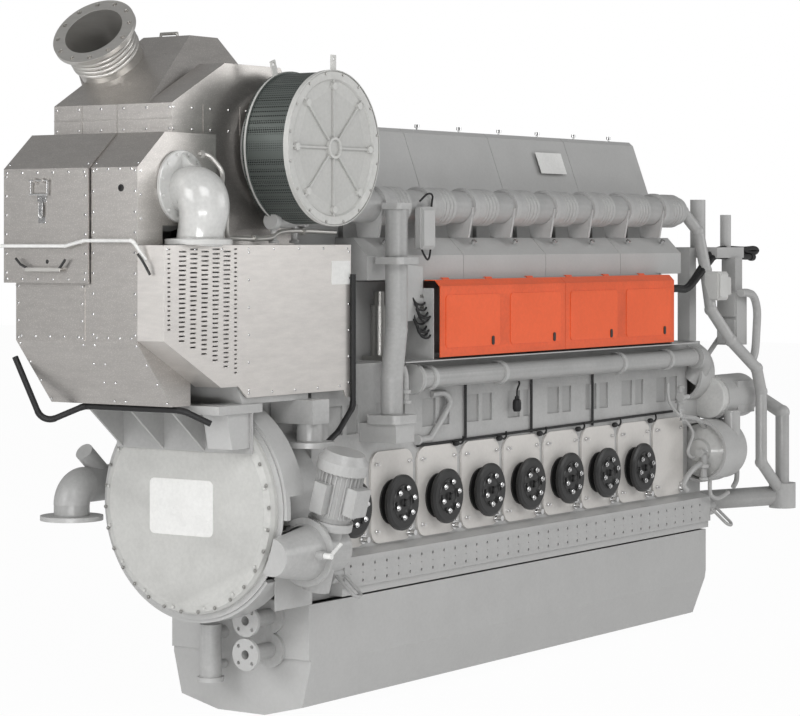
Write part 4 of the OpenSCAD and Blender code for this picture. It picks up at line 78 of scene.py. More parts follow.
class Nodes:
    """Builds one material's node tree."""

    def __init__(self, name):
        self.mat = bpy.data.materials.new(name)
        self.mat.use_nodes = True
        self.tree = self.mat.node_tree
        self.tree.nodes.clear()
        self.out = self.new("ShaderNodeOutputMaterial")
        self.bsdf = self.new("ShaderNodeBsdfPrincipled")
        self.link(self.bsdf, "BSDF", self.out, "Surface")
        self.coord = self.new("ShaderNodeTexCoord")

    def new(self, kind, **values):
        """Adds a node; each value goes to the input of that name, or else to the setting."""
        node = self.tree.nodes.new(kind)
        for key, value in values.items():
            if key in node.inputs:
                node.inputs[key].default_value = value
            else:
                setattr(node, key, value)
        return node

    def link(self, a, out, b, inp):
        """Links an output of one node to an input of another."""
        self.tree.links.new(a.outputs[out], b.inputs[inp])

    def noise(self, scale, detail, rough=0.55, stretch=None):
        """Noise on the object's own coordinates, closer together along the stretched axes."""
        node = self.new("ShaderNodeTexNoise", Scale=scale, Detail=detail, Roughness=rough)
        if stretch:
            mapping = self.new("ShaderNodeMapping", Scale=stretch)
            self.link(self.coord, "Object", mapping, "Vector")
            self.link(mapping, "Vector", node, "Vector")
        else:
            self.link(self.coord, "Object", node, "Vector")
        return node

    def ramp(self, source, out, low, high, a, b):
        """Maps source from low..high to the colours or greys a..b."""
        node = self.new("ShaderNodeValToRGB")
        for element, position, value in zip(node.color_ramp.elements, (low, high), (a, b)):
            element.position = position
            element.color = value if isinstance(value, tuple) else grey(value)
        self.link(source, out, node, "Fac")
        return node

    def mix(self, fac, fac_out, a, a_out, b, b_out, kind="MIX"):
        """Mixes two colours; where an output's name is None, the item before it is the value."""
        node = self.new("ShaderNodeMixRGB", blend_type=kind)
        if fac_out is None:
            node.inputs["Fac"].default_value = fac
        else:
            self.link(fac, fac_out, node, "Fac")
        for item, out, slot in ((a, a_out, "Color1"), (b, b_out, "Color2")):
            if out is None:
                node.inputs[slot].default_value = item
            else:
                self.link(item, out, node, slot)
        return node

    def bevel(self, radius):
        """Normals rounded at the edges."""
        return self.new("ShaderNodeBevel", samples=BEVEL_SAMPLES, Radius=radius)

    def bump(self, source, out, strength, distance, normal=None):
        """Bumps from the source's height, over another normal where one is given."""
        node = self.new("ShaderNodeBump", Strength=strength, Distance=distance)
        self.link(source, out, node, "Height")
        if normal is not None:
            self.link(normal, "Normal", node, "Normal")
        return node

    def surface(self, base, gloss, bumped):
        """Links colour, roughness and bump to the shader and returns the material."""
        self.link(base, "Color", self.bsdf, "Base Color")
        self.link(gloss, "Color", self.bsdf, "Roughness")
        self.link(bumped, "Normal", self.bsdf, "Normal")
        return self.mat


def scaled(colour, k):
    """The colour made lighter or darker by a factor."""
    return tuple(min(1.0, c * k) for c in colour[:3]) + (1.0,)


def paint(name, colour, rough, coat=0.0):
    """Sprayed machine paint: soft mottling, orange peel, rubbed edges and painted shade in the
    corners.
    """
    n = Nodes(name)
    cloud = n.noise(scale=5.0, detail=5.0)
    base = n.ramp(cloud, "Fac", 0.3, 0.7, scaled(colour, MOTTLE_DARK), scaled(colour, MOTTLE_LIGHT))
    fine = n.noise(scale=60.0, detail=3.0)
    worn = n.ramp(fine, "Fac", 0.35, 0.65, 0.96, 1.04)
    tone = n.mix(1.0, None, base, "Color", worn, "Color", "MULTIPLY")
    point = n.new("ShaderNodeNewGeometry")
    edge = n.ramp(point, "Pointiness", 0.52, 0.60, 0.0, EDGE_SHARE)
    rubbed = n.mix(edge, "Color", tone, "Color", scaled(colour, EDGE_LIGHT), None)
    # Painted shade: concave corners, found by low pointiness, are mixed towards a darker copy of
    # the colour
    corner_shade = n.ramp(point, "Pointiness", 0.40, 0.485, CORNER_SHADE_SHARE, 0.0)
    final = n.mix(corner_shade, "Color", rubbed, "Color", scaled(colour, CORNER_SHADE_DARK), None)
    gloss = n.ramp(cloud, "Fac", 0.3, 0.7, rough - 0.05, rough + 0.08)
    n.bsdf.inputs["Specular IOR Level"].default_value = PAINT_SPECULAR
    n.bsdf.inputs["Coat Weight"].default_value = coat
    peel = n.noise(scale=220.0, detail=2.0)
    bumped = n.bump(peel, "Fac", PEEL_STRENGTH, PEEL_DEPTH, n.bevel(PAINT_BEVEL))
    return n.surface(final, gloss, bumped)


def sheet_metal(name, colour, rough, speckle, metallic=0.85):
    """Stainless cladding: rolled sheet with an embossed speckle and faint handling marks."""
    n = Nodes(name)
    grain = n.noise(scale=9.0, detail=6.0, rough=0.6, stretch=(1.0, 1.0, 5.0))
    base = n.ramp(grain, "Fac", 0.3, 0.7, scaled(colour, MOTTLE_DARK), scaled(colour, MOTTLE_LIGHT))
    cells = n.new("ShaderNodeTexVoronoi", Scale=130.0)
    n.link(n.coord, "Object", cells, "Vector")
    dots = n.ramp(cells, "Distance", 0.10, 0.42, 1.0, 0.0)
    tint = n.mix(0.35 * speckle, None, base, "Color", dots, "Color", "MULTIPLY")
    n.bsdf.inputs["Metallic"].default_value = metallic
    scratch = n.noise(scale=30.0, detail=8.0, rough=0.7, stretch=(0.5, 0.5, 6.0))
    gloss = n.ramp(scratch, "Fac", 0.3, 0.75, rough - 0.03, rough + 0.05)
    embossed = n.bump(dots, "Color", 0.22 * speckle, 0.001, n.bevel(SHEET_BEVEL))
    waves = n.noise(scale=3.0, detail=2.0)
    bumped = n.bump(waves, "Fac", 0.10, 0.01, embossed)
    return n.surface(tint, gloss, bumped)


def metal(name, colour, rough):
    """Bare machined or plated metal with turning marks."""
    n = Nodes(name)
    lines = n.noise(scale=90.0, detail=4.0, rough=0.6)
    base = n.ramp(lines, "Fac", 0.3, 0.7, scaled(colour, 0.9), scaled(colour, 1.06))
    n.bsdf.inputs["Metallic"].default_value = 1.0
    gloss = n.ramp(lines, "Fac", 0.3, 0.7, rough - 0.06, rough + 0.08)
    bumped = n.bump(lines, "Fac", 0.08, 0.001)
    return n.surface(base, gloss, bumped)


def rubber(name, colour, rough=0.5):
    """Cable and hose sheath with a faint dusty bloom."""
    n = Nodes(name)
    dust = n.noise(scale=40.0, detail=5.0)
    base = n.ramp(dust, "Fac", 0.35, 0.75, colour, scaled(colour, 2.2))
    gloss = n.ramp(dust, "Fac", 0.3, 0.7, rough - 0.08, rough + 0.12)
    bumped = n.bump(dust, "Fac", 0.1, 0.001)
    return n.surface(base, gloss, bumped)


def mesh_sheet(name, colour, hole_colour):
    """Perforated filter jacket: rows of small dark holes in coated sheet."""
    n = Nodes(name)
    holes = n.new("ShaderNodeTexVoronoi", feature="F1", Scale=95.0, Randomness=0.0)
    n.link(n.coord, "Object", holes, "Vector")
    mask = n.ramp(holes, "Distance", 0.30, 0.42, 0.0, 1.0)
    base = n.mix(mask, "Color", hole_colour, None, colour, None)
    n.bsdf.inputs["Metallic"].default_value = 0.4
    gloss = n.ramp(holes, "Distance", 0.2, 0.5, 0.8, 0.42)
    bumped = n.bump(mask, "Color", 0.5, 0.002)
    return n.surface(base, gloss, bumped)


ENGINE = paint("engine_paint", srgb(174, 174, 173), rough=0.34, coat=0.15)
CASTING = paint("gloss_casting_paint", srgb(200, 200, 198), rough=0.2, coat=0.45)
COVER = paint("cover_paint", srgb(192, 192, 189), rough=0.38)
CLADDING = sheet_metal("cladding_sheet", srgb(212, 208, 204), rough=0.3, speckle=0.6)
SHIELD = sheet_metal("shield_sheet", srgb(224, 220, 216), rough=0.33, speckle=0.15, metallic=0.7)
OUTLET = sheet_metal("outlet_sheet", srgb(205, 203, 199), rough=0.38, speckle=0.0)
ORANGE = paint("orange_paint", srgb(236, 94, 44), rough=0.35, coat=0.15)
BLACK = paint("black_paint", srgb(38, 38, 38), rough=0.34)
FILTER = mesh_sheet("filter_mesh", srgb(96, 102, 99), hole_colour=srgb(22, 24, 24))
STEEL = metal("machined_steel", srgb(168, 167, 164), rough=0.32)
IRON = paint("bare_iron", srgb(108, 106, 102), rough=0.6)
DOOR = paint("door_paint", srgb(206, 203, 199), rough=0.32, coat=0.1)
BRIGHT = metal("bright_metal", srgb(222, 222, 222), rough=0.16)
WHITE = paint("white_paint", srgb(226, 226, 224), rough=0.3)
RUBBER = rubber("cable_rubber", srgb(17, 17, 18))

SLOT_MATERIAL = {
    "engine_paint": ENGINE, "cladding_steel": CLADDING, "outlet_steel": OUTLET,
    "orange_paint": ORANGE, "black_paint": BLACK, "filter_mesh": FILTER,
    "machined_steel": STEEL, "bare_iron": IRON, "door_steel": DOOR,
    "bright_metal": BRIGHT, "white_paint": WHITE, "cable_rubber": RUBBER,
}
NODE_MATERIAL = {
    "heat_shield": SHIELD, "air_elbow": CASTING, "filter_cover": COVER,
    "flywheel_cover": COVER, "fasteners": BRIGHT,
}


def dress_nodes():
    """Gives each CAD node the material of its slot, or its own."""
    slots = {s["node"]: s["material_slot"] for s in RECORD["subparts"]}
    for name, obj in NODES.items():
        material = NODE_MATERIAL.get(name, SLOT_MATERIAL[slots[name]])
        obj.data.materials.clear()
        obj.data.materials.append(material)


dress_nodes()


# Mesh building
SHARP_ANGLE = 32  # degrees
WASHER_SIDES, HEAD_SIDES, SCREW_SIDES = 14, 6, 10
CORNER_STEPS = 5


def axes_for(normal):
    """A rotation whose Z is the normal."""
    n = Vector(normal).normalized()
    up = Vector((0, 0, 1))
    if abs(n.dot(up)) > 0.95:
        up = Vector((1, 0, 0))
    x = up.cross(n).normalized()
    return Matrix((x, n.cross(x), n)).transposed().to_4x4()


def turns(count, start=0.0):
    """Evenly spaced angles of one turn."""
    return [start + 2 * math.pi * k / count for k in range(count)]


class Build:
    """Collects small shapes of one material into one piece. Lengths are in millimetres."""

    def __init__(self, name, material, slot, body="engine"):
        self.name, self.material, self.slot, self.body = name, material, slot, body
        self.bm = bmesh.new()

    def vert(self, co):
        """Adds a vertex, in metres."""
        return self.bm.verts.new(co)

    def frame(self, at, normal):
        """A matrix that puts a shape at a place, with its Z along the normal."""
        return Matrix.Translation(Vector(at) * MM) @ axes_for(normal)

    def band(self, a, b):
        """Faces between two rings that have the same number of vertices."""
        for k in range(len(a)):
            j = (k + 1) % len(a)
            self.bm.faces.new((a[k], a[j], b[j], b[k]))

    def skin(self, rings):
        """Faces from ring to ring and over both ends."""
        for a, b in zip(rings, rings[1:]):
            self.band(a, b)
        self.bm.faces.new(list(reversed(rings[0])))
        self.bm.faces.new(rings[-1])
        return self

    def lathe(self, at, normal, profile, segments=32):
        """Turns a profile of (radius, height) points about the normal."""
        m = self.frame(at, normal)
        rings = []
        for r, h in profile:
            if r <= 0:
                rings.append([self.vert(m @ Vector((0, 0, h * MM)))])
            else:
                rings.append([
                    self.vert(m @ Vector((r * MM * math.cos(a), r * MM * math.sin(a), h * MM)))
                    for a in turns(segments)])
        for a, b in zip(rings, rings[1:]):
            if len(a) == len(b) > 1:
                self.band(a, b)
                continue
            for k in range(segments):
                j = (k + 1) % segments
                if len(b) > 1:
                    self.bm.faces.new((a[0], b[k], b[j]))
                elif len(a) > 1:
                    self.bm.faces.new((a[k], a[j], b[0]))
        return self

    def bolt(self, at, normal, r, h):
        """Hexagon head on a washer."""
        washer_r, washer_h, chamfer = r * 1.35, h * 0.2, r * 0.12
        self.lathe(at, normal, [(0, 0), (washer_r, 0), (washer_r, washer_h), (0, washer_h)],
                   WASHER_SIDES)
        head = [(0, washer_h), (r, washer_h), (r, h - chamfer), (r - chamfer, h), (0, h)]
        return self.lathe(at, normal, head, HEAD_SIDES)

    def screw(self, at, normal, r, h):
        """Low round head."""
        return self.lathe(at, normal, [(r, 0), (r, h * 0.4), (r * 0.7, h), (0, h)], SCREW_SIDES)

    def box(self, low, high, bevel=0.0):
        """Box between two corners."""
        lo, hi = Vector(low) * MM, Vector(high) * MM
        made = bmesh.ops.create_cube(self.bm, size=1.0)["verts"]
        for v in made:
            v.co = Vector((lo[i] + (v.co[i] + 0.5) * (hi[i] - lo[i]) for i in range(3)))
        if bevel:
            edges = list({e for v in made for e in v.link_edges})
            bmesh.ops.bevel(self.bm, geom=edges, offset=bevel * MM, segments=2, affect="EDGES")
        return self

    def plate(self, at, normal, w, h, t, corner):
        """Plate with rounded corners and a small chamfer, t thick along the normal."""
        m = self.frame(at, normal)
        cx, cy = w / 2 - corner, h / 2 - corner
        outline = []
        for x, y, first in ((cx, cy, 0), (-cx, cy, 90), (-cx, -cy, 180), (cx, -cy, 270)):
            for k in range(CORNER_STEPS + 1):
                a = math.radians(first + 90 * k / CORNER_STEPS)
                outline.append((x + corner * math.cos(a), y + corner * math.sin(a)))
        chamfer = min(t * 0.3, 1.5)
        rings = []
        for inset, z in ((0, 0), (0, t - chamfer), (chamfer, t)):
            rings.append([
                self.vert(m @ Vector(((x - math.copysign(inset, x)) * MM,
                                      (y - math.copysign(inset, y)) * MM, z * MM)))
                for x, y in outline])
        return self.skin(rings)

    def slab(self, points, offset):
        """Flat outline pushed out by an offset."""
        low = [self.vert(Vector(p) * MM) for p in points]
        high = [self.vert((Vector(p) + Vector(offset)) * MM) for p in points]
        return self.skin([low, high])

    def tube(self, points, r, segments=12, smooth=0):
        """Round tube through points; smooth adds points on a curve between them."""
        pts = [Vector(p) for p in points]
        if smooth:
            pts = curve_through(pts, smooth)
        pts = [p * MM for p in pts]
        up = None
        rings = []
        for i, p in enumerate(pts):
            d = (pts[min(i + 1, len(pts) - 1)] - pts[max(i - 1, 0)]).normalized()
            if up is None:
                up = Vector((0, 0, 1)) if abs(d.z) < 0.9 else Vector((1, 0, 0))
            x = up.cross(d).normalized()
            up = d.cross(x)
            rings.append([self.vert(p + (x * math.cos(a) + up * math.sin(a)) * r * MM)
                          for a in turns(segments)])
        return self.skin(rings)

    def horn(self, points, segments=40, smooth=6):
        """Swept casting through points of x, y, z and radius, all in the plane of one x."""
        pts = curve_through([Vector(p) for p in points], smooth)
        side = Vector((1, 0, 0))
        rings = []
        for i, p in enumerate(pts):
            d = (pts[min(i + 1, len(pts) - 1)] - pts[max(i - 1, 0)]).to_3d().normalized()
            up = d.cross(side)
            rings.append([
                self.vert((p.to_3d() + (side * math.cos(a) + up * math.sin(a)) * p[3]) * MM)
                for a in turns(segments)])
        return self.skin(rings)

    def done(self):
        """Turns what was collected into one smooth-shaded object on its body."""
        bmesh.ops.recalc_face_normals(self.bm, faces=self.bm.faces)
        mesh = bpy.data.meshes.new(self.name)
        self.bm.to_mesh(mesh)
        self.bm.free()
        obj = bpy.data.objects.new(self.name, mesh)
        bpy.context.scene.collection.objects.link(obj)
        mesh.materials.append(self.material)
        for poly in mesh.polygons:
            poly.use_smooth = True
        mesh.set_sharp_from_angle(angle=math.radians(SHARP_ANGLE))
        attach(obj, self.body)
        return obj


def curve_through(pts, steps):
    """Catmull-Rom points through the given ones."""
    out = []
    for i in range(len(pts) - 1):
        p0, p1, p2 = pts[max(i - 1, 0)], pts[i], pts[i + 1]
        p3 = pts[min(i + 2, len(pts) - 1)]
        for k in range(steps):
            t = k / steps
            out.append(0.5 * (2 * p1 + (p2 - p0) * t + (2 * p0 - 5 * p1 + 4 * p2 - p3) * t * t
                              + (3 * p1 - p0 - 3 * p2 + p3) * t ** 3))
    out.append(pts[-1])
    return out


# Places and sizes in millimetres, as in the part's source. X runs from the flywheel end to the
# free end, Y to the far side and Z up.
TOWARD_FRONT = (-1, 0, 0)
TOWARD_NEAR = (0, -1, 0)
UPWARD = (0, 0, 1)
CRANK_Z = 1005
X_FIRST, PITCH, RELIEF_COUNT = -1600, 400, 8
BOX_X = -2997
STEP_X = BOX_X - 14
TOP_BOX_X, TOP_BOX_Y = -2700, -200
NEAR_Y = -250
SEAM_Y = 20
SIDE_TOP = 2556
SHIELD_Y = -400
FILTER_X, FILTER_Z, FILTER_FACE = -1961, 2661, -560
FILTER_R = 360
COVER_X, COVER_R = -2360, 496
COVER_BOLT_TOP = 1445
LIP_X = -2302
RIVET_R, RIVET_H = 6.5, 3.5
HOOD_NORMAL = (0, -390, 141)
VOLUTE_X, VOLUTE_Y = 1908, -420
ELBOW_X, ELBOW_Z = -2704, 2475
RELIEF_XS = [X_FIRST + PITCH * k for k in range(RELIEF_COUNT)]
RELIEF_FACE, RELIEF_Z, RELIEF_BOLT_R = -442, 955, 73
DROP_XS = (-645, -235, 165, 565, 965, 1370)
LEAD_R, PIPE_R = 5, 16


def along(a, b, count):
    """Evenly spaced points from a to b."""
    a, b = Vector(a), Vector(b)
    return [a + (b - a) * k / (count - 1) for k in range(count)]


def ring(at, normal, radius, count, start=0.0):
    """Points on a circle round at, in the plane across the normal."""
    m = axes_for(normal)
    return [Vector(at) + m @ Vector((radius * math.cos(a), radius * math.sin(a), 0))
            for a in turns(count, start)]


def rivet_rows(build, normal, rows):
    """Rivets along rows of start, end and count."""
    for start, end, count in rows:
        for p in along(start, end, count):
            build.screw(p, normal, RIVET_R, RIVET_H)


# Cladding details
def rivets():
    """Rivets along the folds of the front box, the upper box and the hip box on top."""
    b = Build("cladding_rivets", BRIGHT, "bright_metal")
    rivet_rows(b, TOWARD_FRONT, [
        ((STEP_X, 45, 2062), (STEP_X, 505, 2062), 6),
        ((STEP_X, 45, 2538), (STEP_X, 505, 2538), 6),
        ((STEP_X, 38, 2090), (STEP_X, 38, 2520), 6),
        ((STEP_X, 508, 2090), (STEP_X, 508, 2520), 6),
        ((BOX_X, -236, 1820), (BOX_X, -236, 2540), 9),
        ((BOX_X, 5, 1820), (BOX_X, 5, 2540), 9),
        ((BOX_X, 70, 1800), (BOX_X, 70, 2030), 4),
        ((BOX_X, 448, 1800), (BOX_X, 448, 2030), 4),
        ((BOX_X, -215, 1806), (BOX_X, -15, 1806), 4),
        ((BOX_X, 90, 1806), (BOX_X, 430, 1806), 5),
        ((BOX_X, -215, 2548), (BOX_X, -15, 2548), 4),
    ])
    fold_x = BOX_X + 22
    rivet_rows(b, TOWARD_NEAR, [
        ((fold_x, NEAR_Y, 1830), (fold_x, NEAR_Y, 2110), 4),
        ((fold_x, NEAR_Y, 2330), (fold_x, NEAR_Y, 2540), 3),
    ])
    roof_slope = (-0.78, 0, 0.62)
    rivet_rows(b, roof_slope, [
        (((BOX_X if y < SEAM_Y else STEP_X) + 22, y, SIDE_TOP + 18), (-2793, y, 2700), 4)
        for y in (-235, 5, 40, 508)])
    floor_slope = (-0.77, 0, -0.63)
    rivet_rows(b, floor_slope, [
        ((BOX_X + 12, y, 1772), (-2775, y, 1512), 4) for y in (-235, 5, 70, 448)])
    hip_rows = (2735, 2832)
    rivet_rows(b, TOWARD_NEAR, [
        ((-2690, TOP_BOX_Y, z), (-1765, TOP_BOX_Y, z), 8) for z in hip_rows])
    rivet_rows(b, TOWARD_FRONT, [
        ((TOP_BOX_X, -185, z), (TOP_BOX_X, 485, z), 6) for z in hip_rows])
    b.done()


def shield_screws():
    """Screws along the edges of the heat shield's two sheets."""
    b = Build("shield_screws", BRIGHT, "bright_metal")
    low, high, middle_x, rear_x = 1545, 2180, -2400, -1625
    rivet_rows(b, TOWARD_NEAR, [
        ((-2975, SHIELD_Y, 2196), (-1640, SHIELD_Y, 2196), 8),
        ((rear_x, SHIELD_Y, high), (rear_x, SHIELD_Y, low + 15), 6),
        ((middle_x, SHIELD_Y, low), (-1700, SHIELD_Y, low), 5),
        ((middle_x, SHIELD_Y, high), (middle_x, SHIELD_Y, low + 15), 6),
    ])
    b.done()


def box_seams():
    """Thin folded strips where the sheets meet."""
    b = Build("cladding_seams", CLADDING, "cladding_steel")
    b.box((STEP_X - 2, SEAM_Y - 1, 2044), (STEP_X + 1, SEAM_Y + 7, SIDE_TOP))
    b.box((BOX_X - 3, 50, 1790), (BOX_X + 1, 56, 2042))
    b.box((BOX_X - 3, NEAR_Y - 1, 2140), (BOX_X + 1, SEAM_Y, 2146))
    b.box((BOX_X - 3, SEAM_Y + 4, 2030), (BOX_X + 1, 462, 2036))
    b.box((TOP_BOX_X - 2, TOP_BOX_Y, 2780), (TOP_BOX_X + 1, 500, 2784))
    low, high, width = 2717, 2849, 4
    for y in (120, 330):
        b.box((TOP_BOX_X - 3, y, low), (TOP_BOX_X + 1, y + width, high))
    for x in (-2480, -2210, -1980):
        b.box((x, TOP_BOX_Y - 3, low), (x + width, TOP_BOX_Y + 1, high))
    b.done()


def box_hole():
    """Black grommet in the front box."""
    b = Build("front_hole", BLACK, "black_paint")
    grommet = [(16, 0), (16, 3), (11, 3), (11, -4), (0, -4)]
    b.lathe((BOX_X + 1, -157, 2465), TOWARD_FRONT, grommet, 24)
    b.done()


def toggle_latch():
    """Toggle latch on the upper box: two plates, the bar between them and its wire loop."""
    b = Build("toggle_latch", BRIGHT, "bright_metal")
    x, y, catch_z, base_z = STEP_X, 291, 2422, 2325
    b.plate((x, y, catch_z), TOWARD_FRONT, 56, 32, 4, corner=4)
    b.plate((x, y, base_z), TOWARD_FRONT, 44, 28, 4, corner=4)
    b.box((x - 9, y - 7, base_z), (x - 4, y + 7, catch_z + 3), bevel=2)
    b.tube([(x - 10, y - 11, 2402), (x - 12, y - 11, 2345), (x - 10, y, 2335),
            (x - 12, y + 11, 2345), (x - 10, y + 11, 2402)], 2.5)
    b.box((x - 14, y - 11, 2348), (x - 9, y + 11, 2392), bevel=2)
    for side in (-21, 21):
        b.screw((x - 4, y + side, catch_z), TOWARD_FRONT, 3.5, 2)
    b.done()


def top_fittings():
    """Two short pipes with cross bars, and a lifting loop on the ridge."""
    b = Build("top_pipes", OUTLET, "outlet_steel")
    y, foot_z, bar_z = -100, 2845, 2932
    for x in (-2362, -2289):
        b.tube([(x, y, foot_z), (x, y, bar_z + 3)], 13)
        b.tube([(x, y - 18, bar_z), (x, y + 18, bar_z)], 11)
    b.done()
    h = Build("ridge_loop", OUTLET, "outlet_steel")
    x, low, high = -2235, 3186, 3204
    h.tube([(x, 150, low), (x, 150, high), (x, 250, high), (x, 250, low)], 8)
    h.done()


# Filter
def filter_trim():
    """Bolts round the filter's end cover and a band at each end of its mesh."""
    b = Build("filter_screws", STEEL, "machined_steel")
    rim = (FILTER_X, FILTER_FACE + 2, FILTER_Z)
    for p in ring(rim, TOWARD_NEAR, FILTER_R - 14, 16, 0.2):
        b.bolt(p, TOWARD_NEAR, 7, 6)
    b.done()
    band = Build("filter_bands", COVER, "engine_paint")
    inner, outer, width = FILTER_R - 3, FILTER_R + 1.5, 10
    for y in (-552, -310):
        band.lathe((FILTER_X, y, FILTER_Z), TOWARD_NEAR,
                   [(inner, 0), (outer, 0), (outer, width), (inner, width)], 72)
    band.done()


# Flywheel end
def cover_bolts():
    """Bolts round the flywheel cover, bare plates, the housing's rim, and a guard plate that stands
    before the gap between the housing's foot and the sump."""
    b = Build("cover_bolts", STEEL, "machined_steel")
    for p in ring((COVER_X, 0, CRANK_Z), TOWARD_FRONT, COVER_R - 12, 30, 0.05):
        if p.z < COVER_BOLT_TOP:
            b.bolt(p, TOWARD_FRONT, 7, 6)
    b.done()
    plate = Build("bare_plates", WHITE, "white_paint")
    plate.plate((COVER_X, 24, 1004), TOWARD_FRONT, 375, 260, 3, corner=28)
    plate.plate((-1690, SHIELD_Y, 2082), TOWARD_NEAR, 150, 112, 2, corner=2)
    plate.plate((755, -79, 2662), HOOD_NORMAL, 270, 125, 3, corner=3)
    plate.done()
    lip = Build("housing_lip", ENGINE, "engine_paint")
    inner, outer, height = 482, 524, 6
    lip.lathe((LIP_X, 0, CRANK_Z), TOWARD_FRONT,
              [(inner, 0), (outer, 0), (outer, height), (inner, height), (inner, 0)], 96)
    lip.done()
    shade = Build("window_guard", ENGINE, "engine_paint")
    shade.box((-2245, -432, 545), (-1960, -426, 705), bevel=2)
    shade.done()


def cast_elbow():
    """The air elbow as one swept casting between its two flanges."""
    b = Build("cast_elbow", CASTING, "engine_paint")
    x, z = ELBOW_X, ELBOW_Z
    b.horn([(x, -262, 2456, 98), (x, -322, 2458, 110), (x, -366, 2432, 118),
            (x, -386, 2375, 114), (x, -374, 2300, 105), (x, -360, 2226, 104)])
    b.lathe((x, -251, z), TOWARD_NEAR, [(0, 0), (163, 0), (163, 13), (159, 17), (0, 17)], 56)
    b.lathe((x, -354, 2215), UPWARD,
            [(0, 0), (148, 0), (152, 4), (152, 22), (146, 27), (118, 30), (0, 30)], 56)
    flange_face = -268
    for p in ring((x, flange_face, z), TOWARD_NEAR, 146, 12, 0.3):
        b.bolt(p, TOWARD_NEAR, 8, 7)
    rib = 14
    left = x - rib / 2
    b.slab([(left, flange_face, 2625), (left, flange_face, 2540), (left, -345, 2545)], (rib, 0, 0))
    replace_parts(b.done(), "air_elbow")


def pump_cover():
    """Domed front cover that closes the volute."""
    b = Build("pump_front_cover", CASTING, "engine_paint")
    dome = [(158, -6), (158, 10), (150, 14), (120, 22), (72, 40), (64, 62), (56, 66), (0, 66)]
    b.lathe((VOLUTE_X, VOLUTE_Y, CRANK_Z), TOWARD_FRONT, dome, 48)
    for p in ring((VOLUTE_X - 14, VOLUTE_Y, CRANK_Z), TOWARD_FRONT, 148, 10, 0.2):
        b.bolt(p, TOWARD_FRONT, 9, 8)
    b.done()


# Operating side: relief covers, door cables and the hot box
def relief_bolts():
    """Bright bolts and a small boss on each relief valve cover."""
    b = Build("relief_bolts", BRIGHT, "bright_metal")
    boss = Build("relief_bosses", BLACK, "black_paint")
    for x in RELIEF_XS:
        at = (x, RELIEF_FACE, RELIEF_Z)
        for p in ring(at, TOWARD_NEAR, RELIEF_BOLT_R, 6, 0.3):
            b.bolt(p, TOWARD_NEAR, 10, 10)
        boss.lathe(at, TOWARD_NEAR, [(18, 0), (18, 5), (13, 9), (0, 9)], 20)
    b.done()
    boss.done()


def door_plugs():
    """Short leads that drop from the harness and end in black plugs."""
    b = Build("door_leads", RUBBER, "cable_rubber")
    plug = [(0, 0), (12, 0), (14, 6), (14, 26), (9, 34), (0, 34)]
    for x in DROP_XS:
        b.tube([(x + 75, -360, 1236), (x + 58, -372, 1216), (x + 30, -376, 1203),
                (x + 6, -370, 1207)], LEAD_R, smooth=5)
        b.lathe((x + 10, -370, 1207), TOWARD_FRONT, plug, 14)
    b.tube([(-20, -352, 1490), (-50, -372, 1478), (-82, -380, 1450), (-85, -380, 1412)],
           LEAD_R, smooth=6)
    sensor = [(0, 0), (11, 0), (12, 14), (20, 20), (23, 34), (23, 66), (17, 80), (0, 80)]
    b.lathe((-85, -380, 1418), (0, 0, -1), sensor, 16)
    b.done()


def hot_box_wiring():
    """Injector leads in the open end of the hot box, and the sensor box before it."""
    b = Build("injector_leads", RUBBER, "cable_rubber")
    for k in range(10):
        z = 1945 - 17 * k
        sag = 26 + 11 * (k % 4)
        y = -436 - 8 * (k % 5)
        b.tube([(-1118 + 7 * (k % 3), y + 16, z + 8), (-1104, y + 4, z - sag * 0.7),
                (-1078, y - 4, z - sag), (-1045, y - 2, z - sag * 0.9),
                (-1012, y + 6, z - sag * 0.4)], 5.5, smooth=6)
    b.done()
    h = Build("hot_box_fittings", STEEL, "machined_steel")
    for z in (1905, 1960):
        h.lathe((-1012, -420, z), TOWARD_FRONT,
                [(14, 0), (14, 16), (9, 20), (9, 44), (0, 44)], 12)
    h.done()
    p = Build("sensor_bracket", ENGINE, "engine_paint")
    edge_x, face_y, low, high = -1035, -424, 1890, 2105
    p.slab([(-1180, face_y, 2118), (edge_x, face_y, high), (edge_x, face_y, low),
            (-1095, face_y, 1842), (-1180, face_y, 1838)], (0, 8, 0))
    p.slab([(edge_x, face_y, high), (edge_x, face_y, low), (edge_x, -380, low),
            (edge_x, -380, high)], (5, 0, 0))
    p.box((-1110, -470, 2190), (-985, face_y, 2400), bevel=8)
    p.box((-1098, -476, 2205), (-997, -469, 2385), bevel=2)
    p.done()
    w = Build("sensor_leads", RUBBER, "cable_rubber")
    w.tube([(-1085, -440, 2425), (-1060, -470, 2462), (-1015, -470, 2455), (-985, -445, 2400),
            (-962, -440, 2310)], LEAD_R, smooth=6)
    w.tube([(-1080, -450, 2190), (-1078, -465, 2160), (-1050, -465, 2140), (-1010, -450, 2160),
            (-980, -440, 2230)], LEAD_R, smooth=6)
    w.done()


def side_pipes():
    """Thin service pipes along the block side, with their flanges."""
    b = Build("side_pipes", ENGINE, "engine_paint")
    b.tube([(-845, -352, 1465), (-745, -360, 1465), (-695, -360, 1425), (-725, -360, 1375),
            (-850, -360, 1262), (-885, -360, 1247), (-985, -360, 1245)], PIPE_R, smooth=6)
    b.tube([(-1275, -470, 1625), (-1252, -470, 1580), (-1250, -470, 1505),
            (-1245, -470, 1440)], PIPE_R, smooth=6)
    flange = [(0, -8), (26, -8), (26, 8), (0, 8)]
    for at, normal in (((-985, -360, 1245), TOWARD_FRONT), ((-1250, -470, 1500), UPWARD),
                       ((-1246, -470, 1450), UPWARD)):
        b.lathe(at, normal, flange, 20)
    b.done()


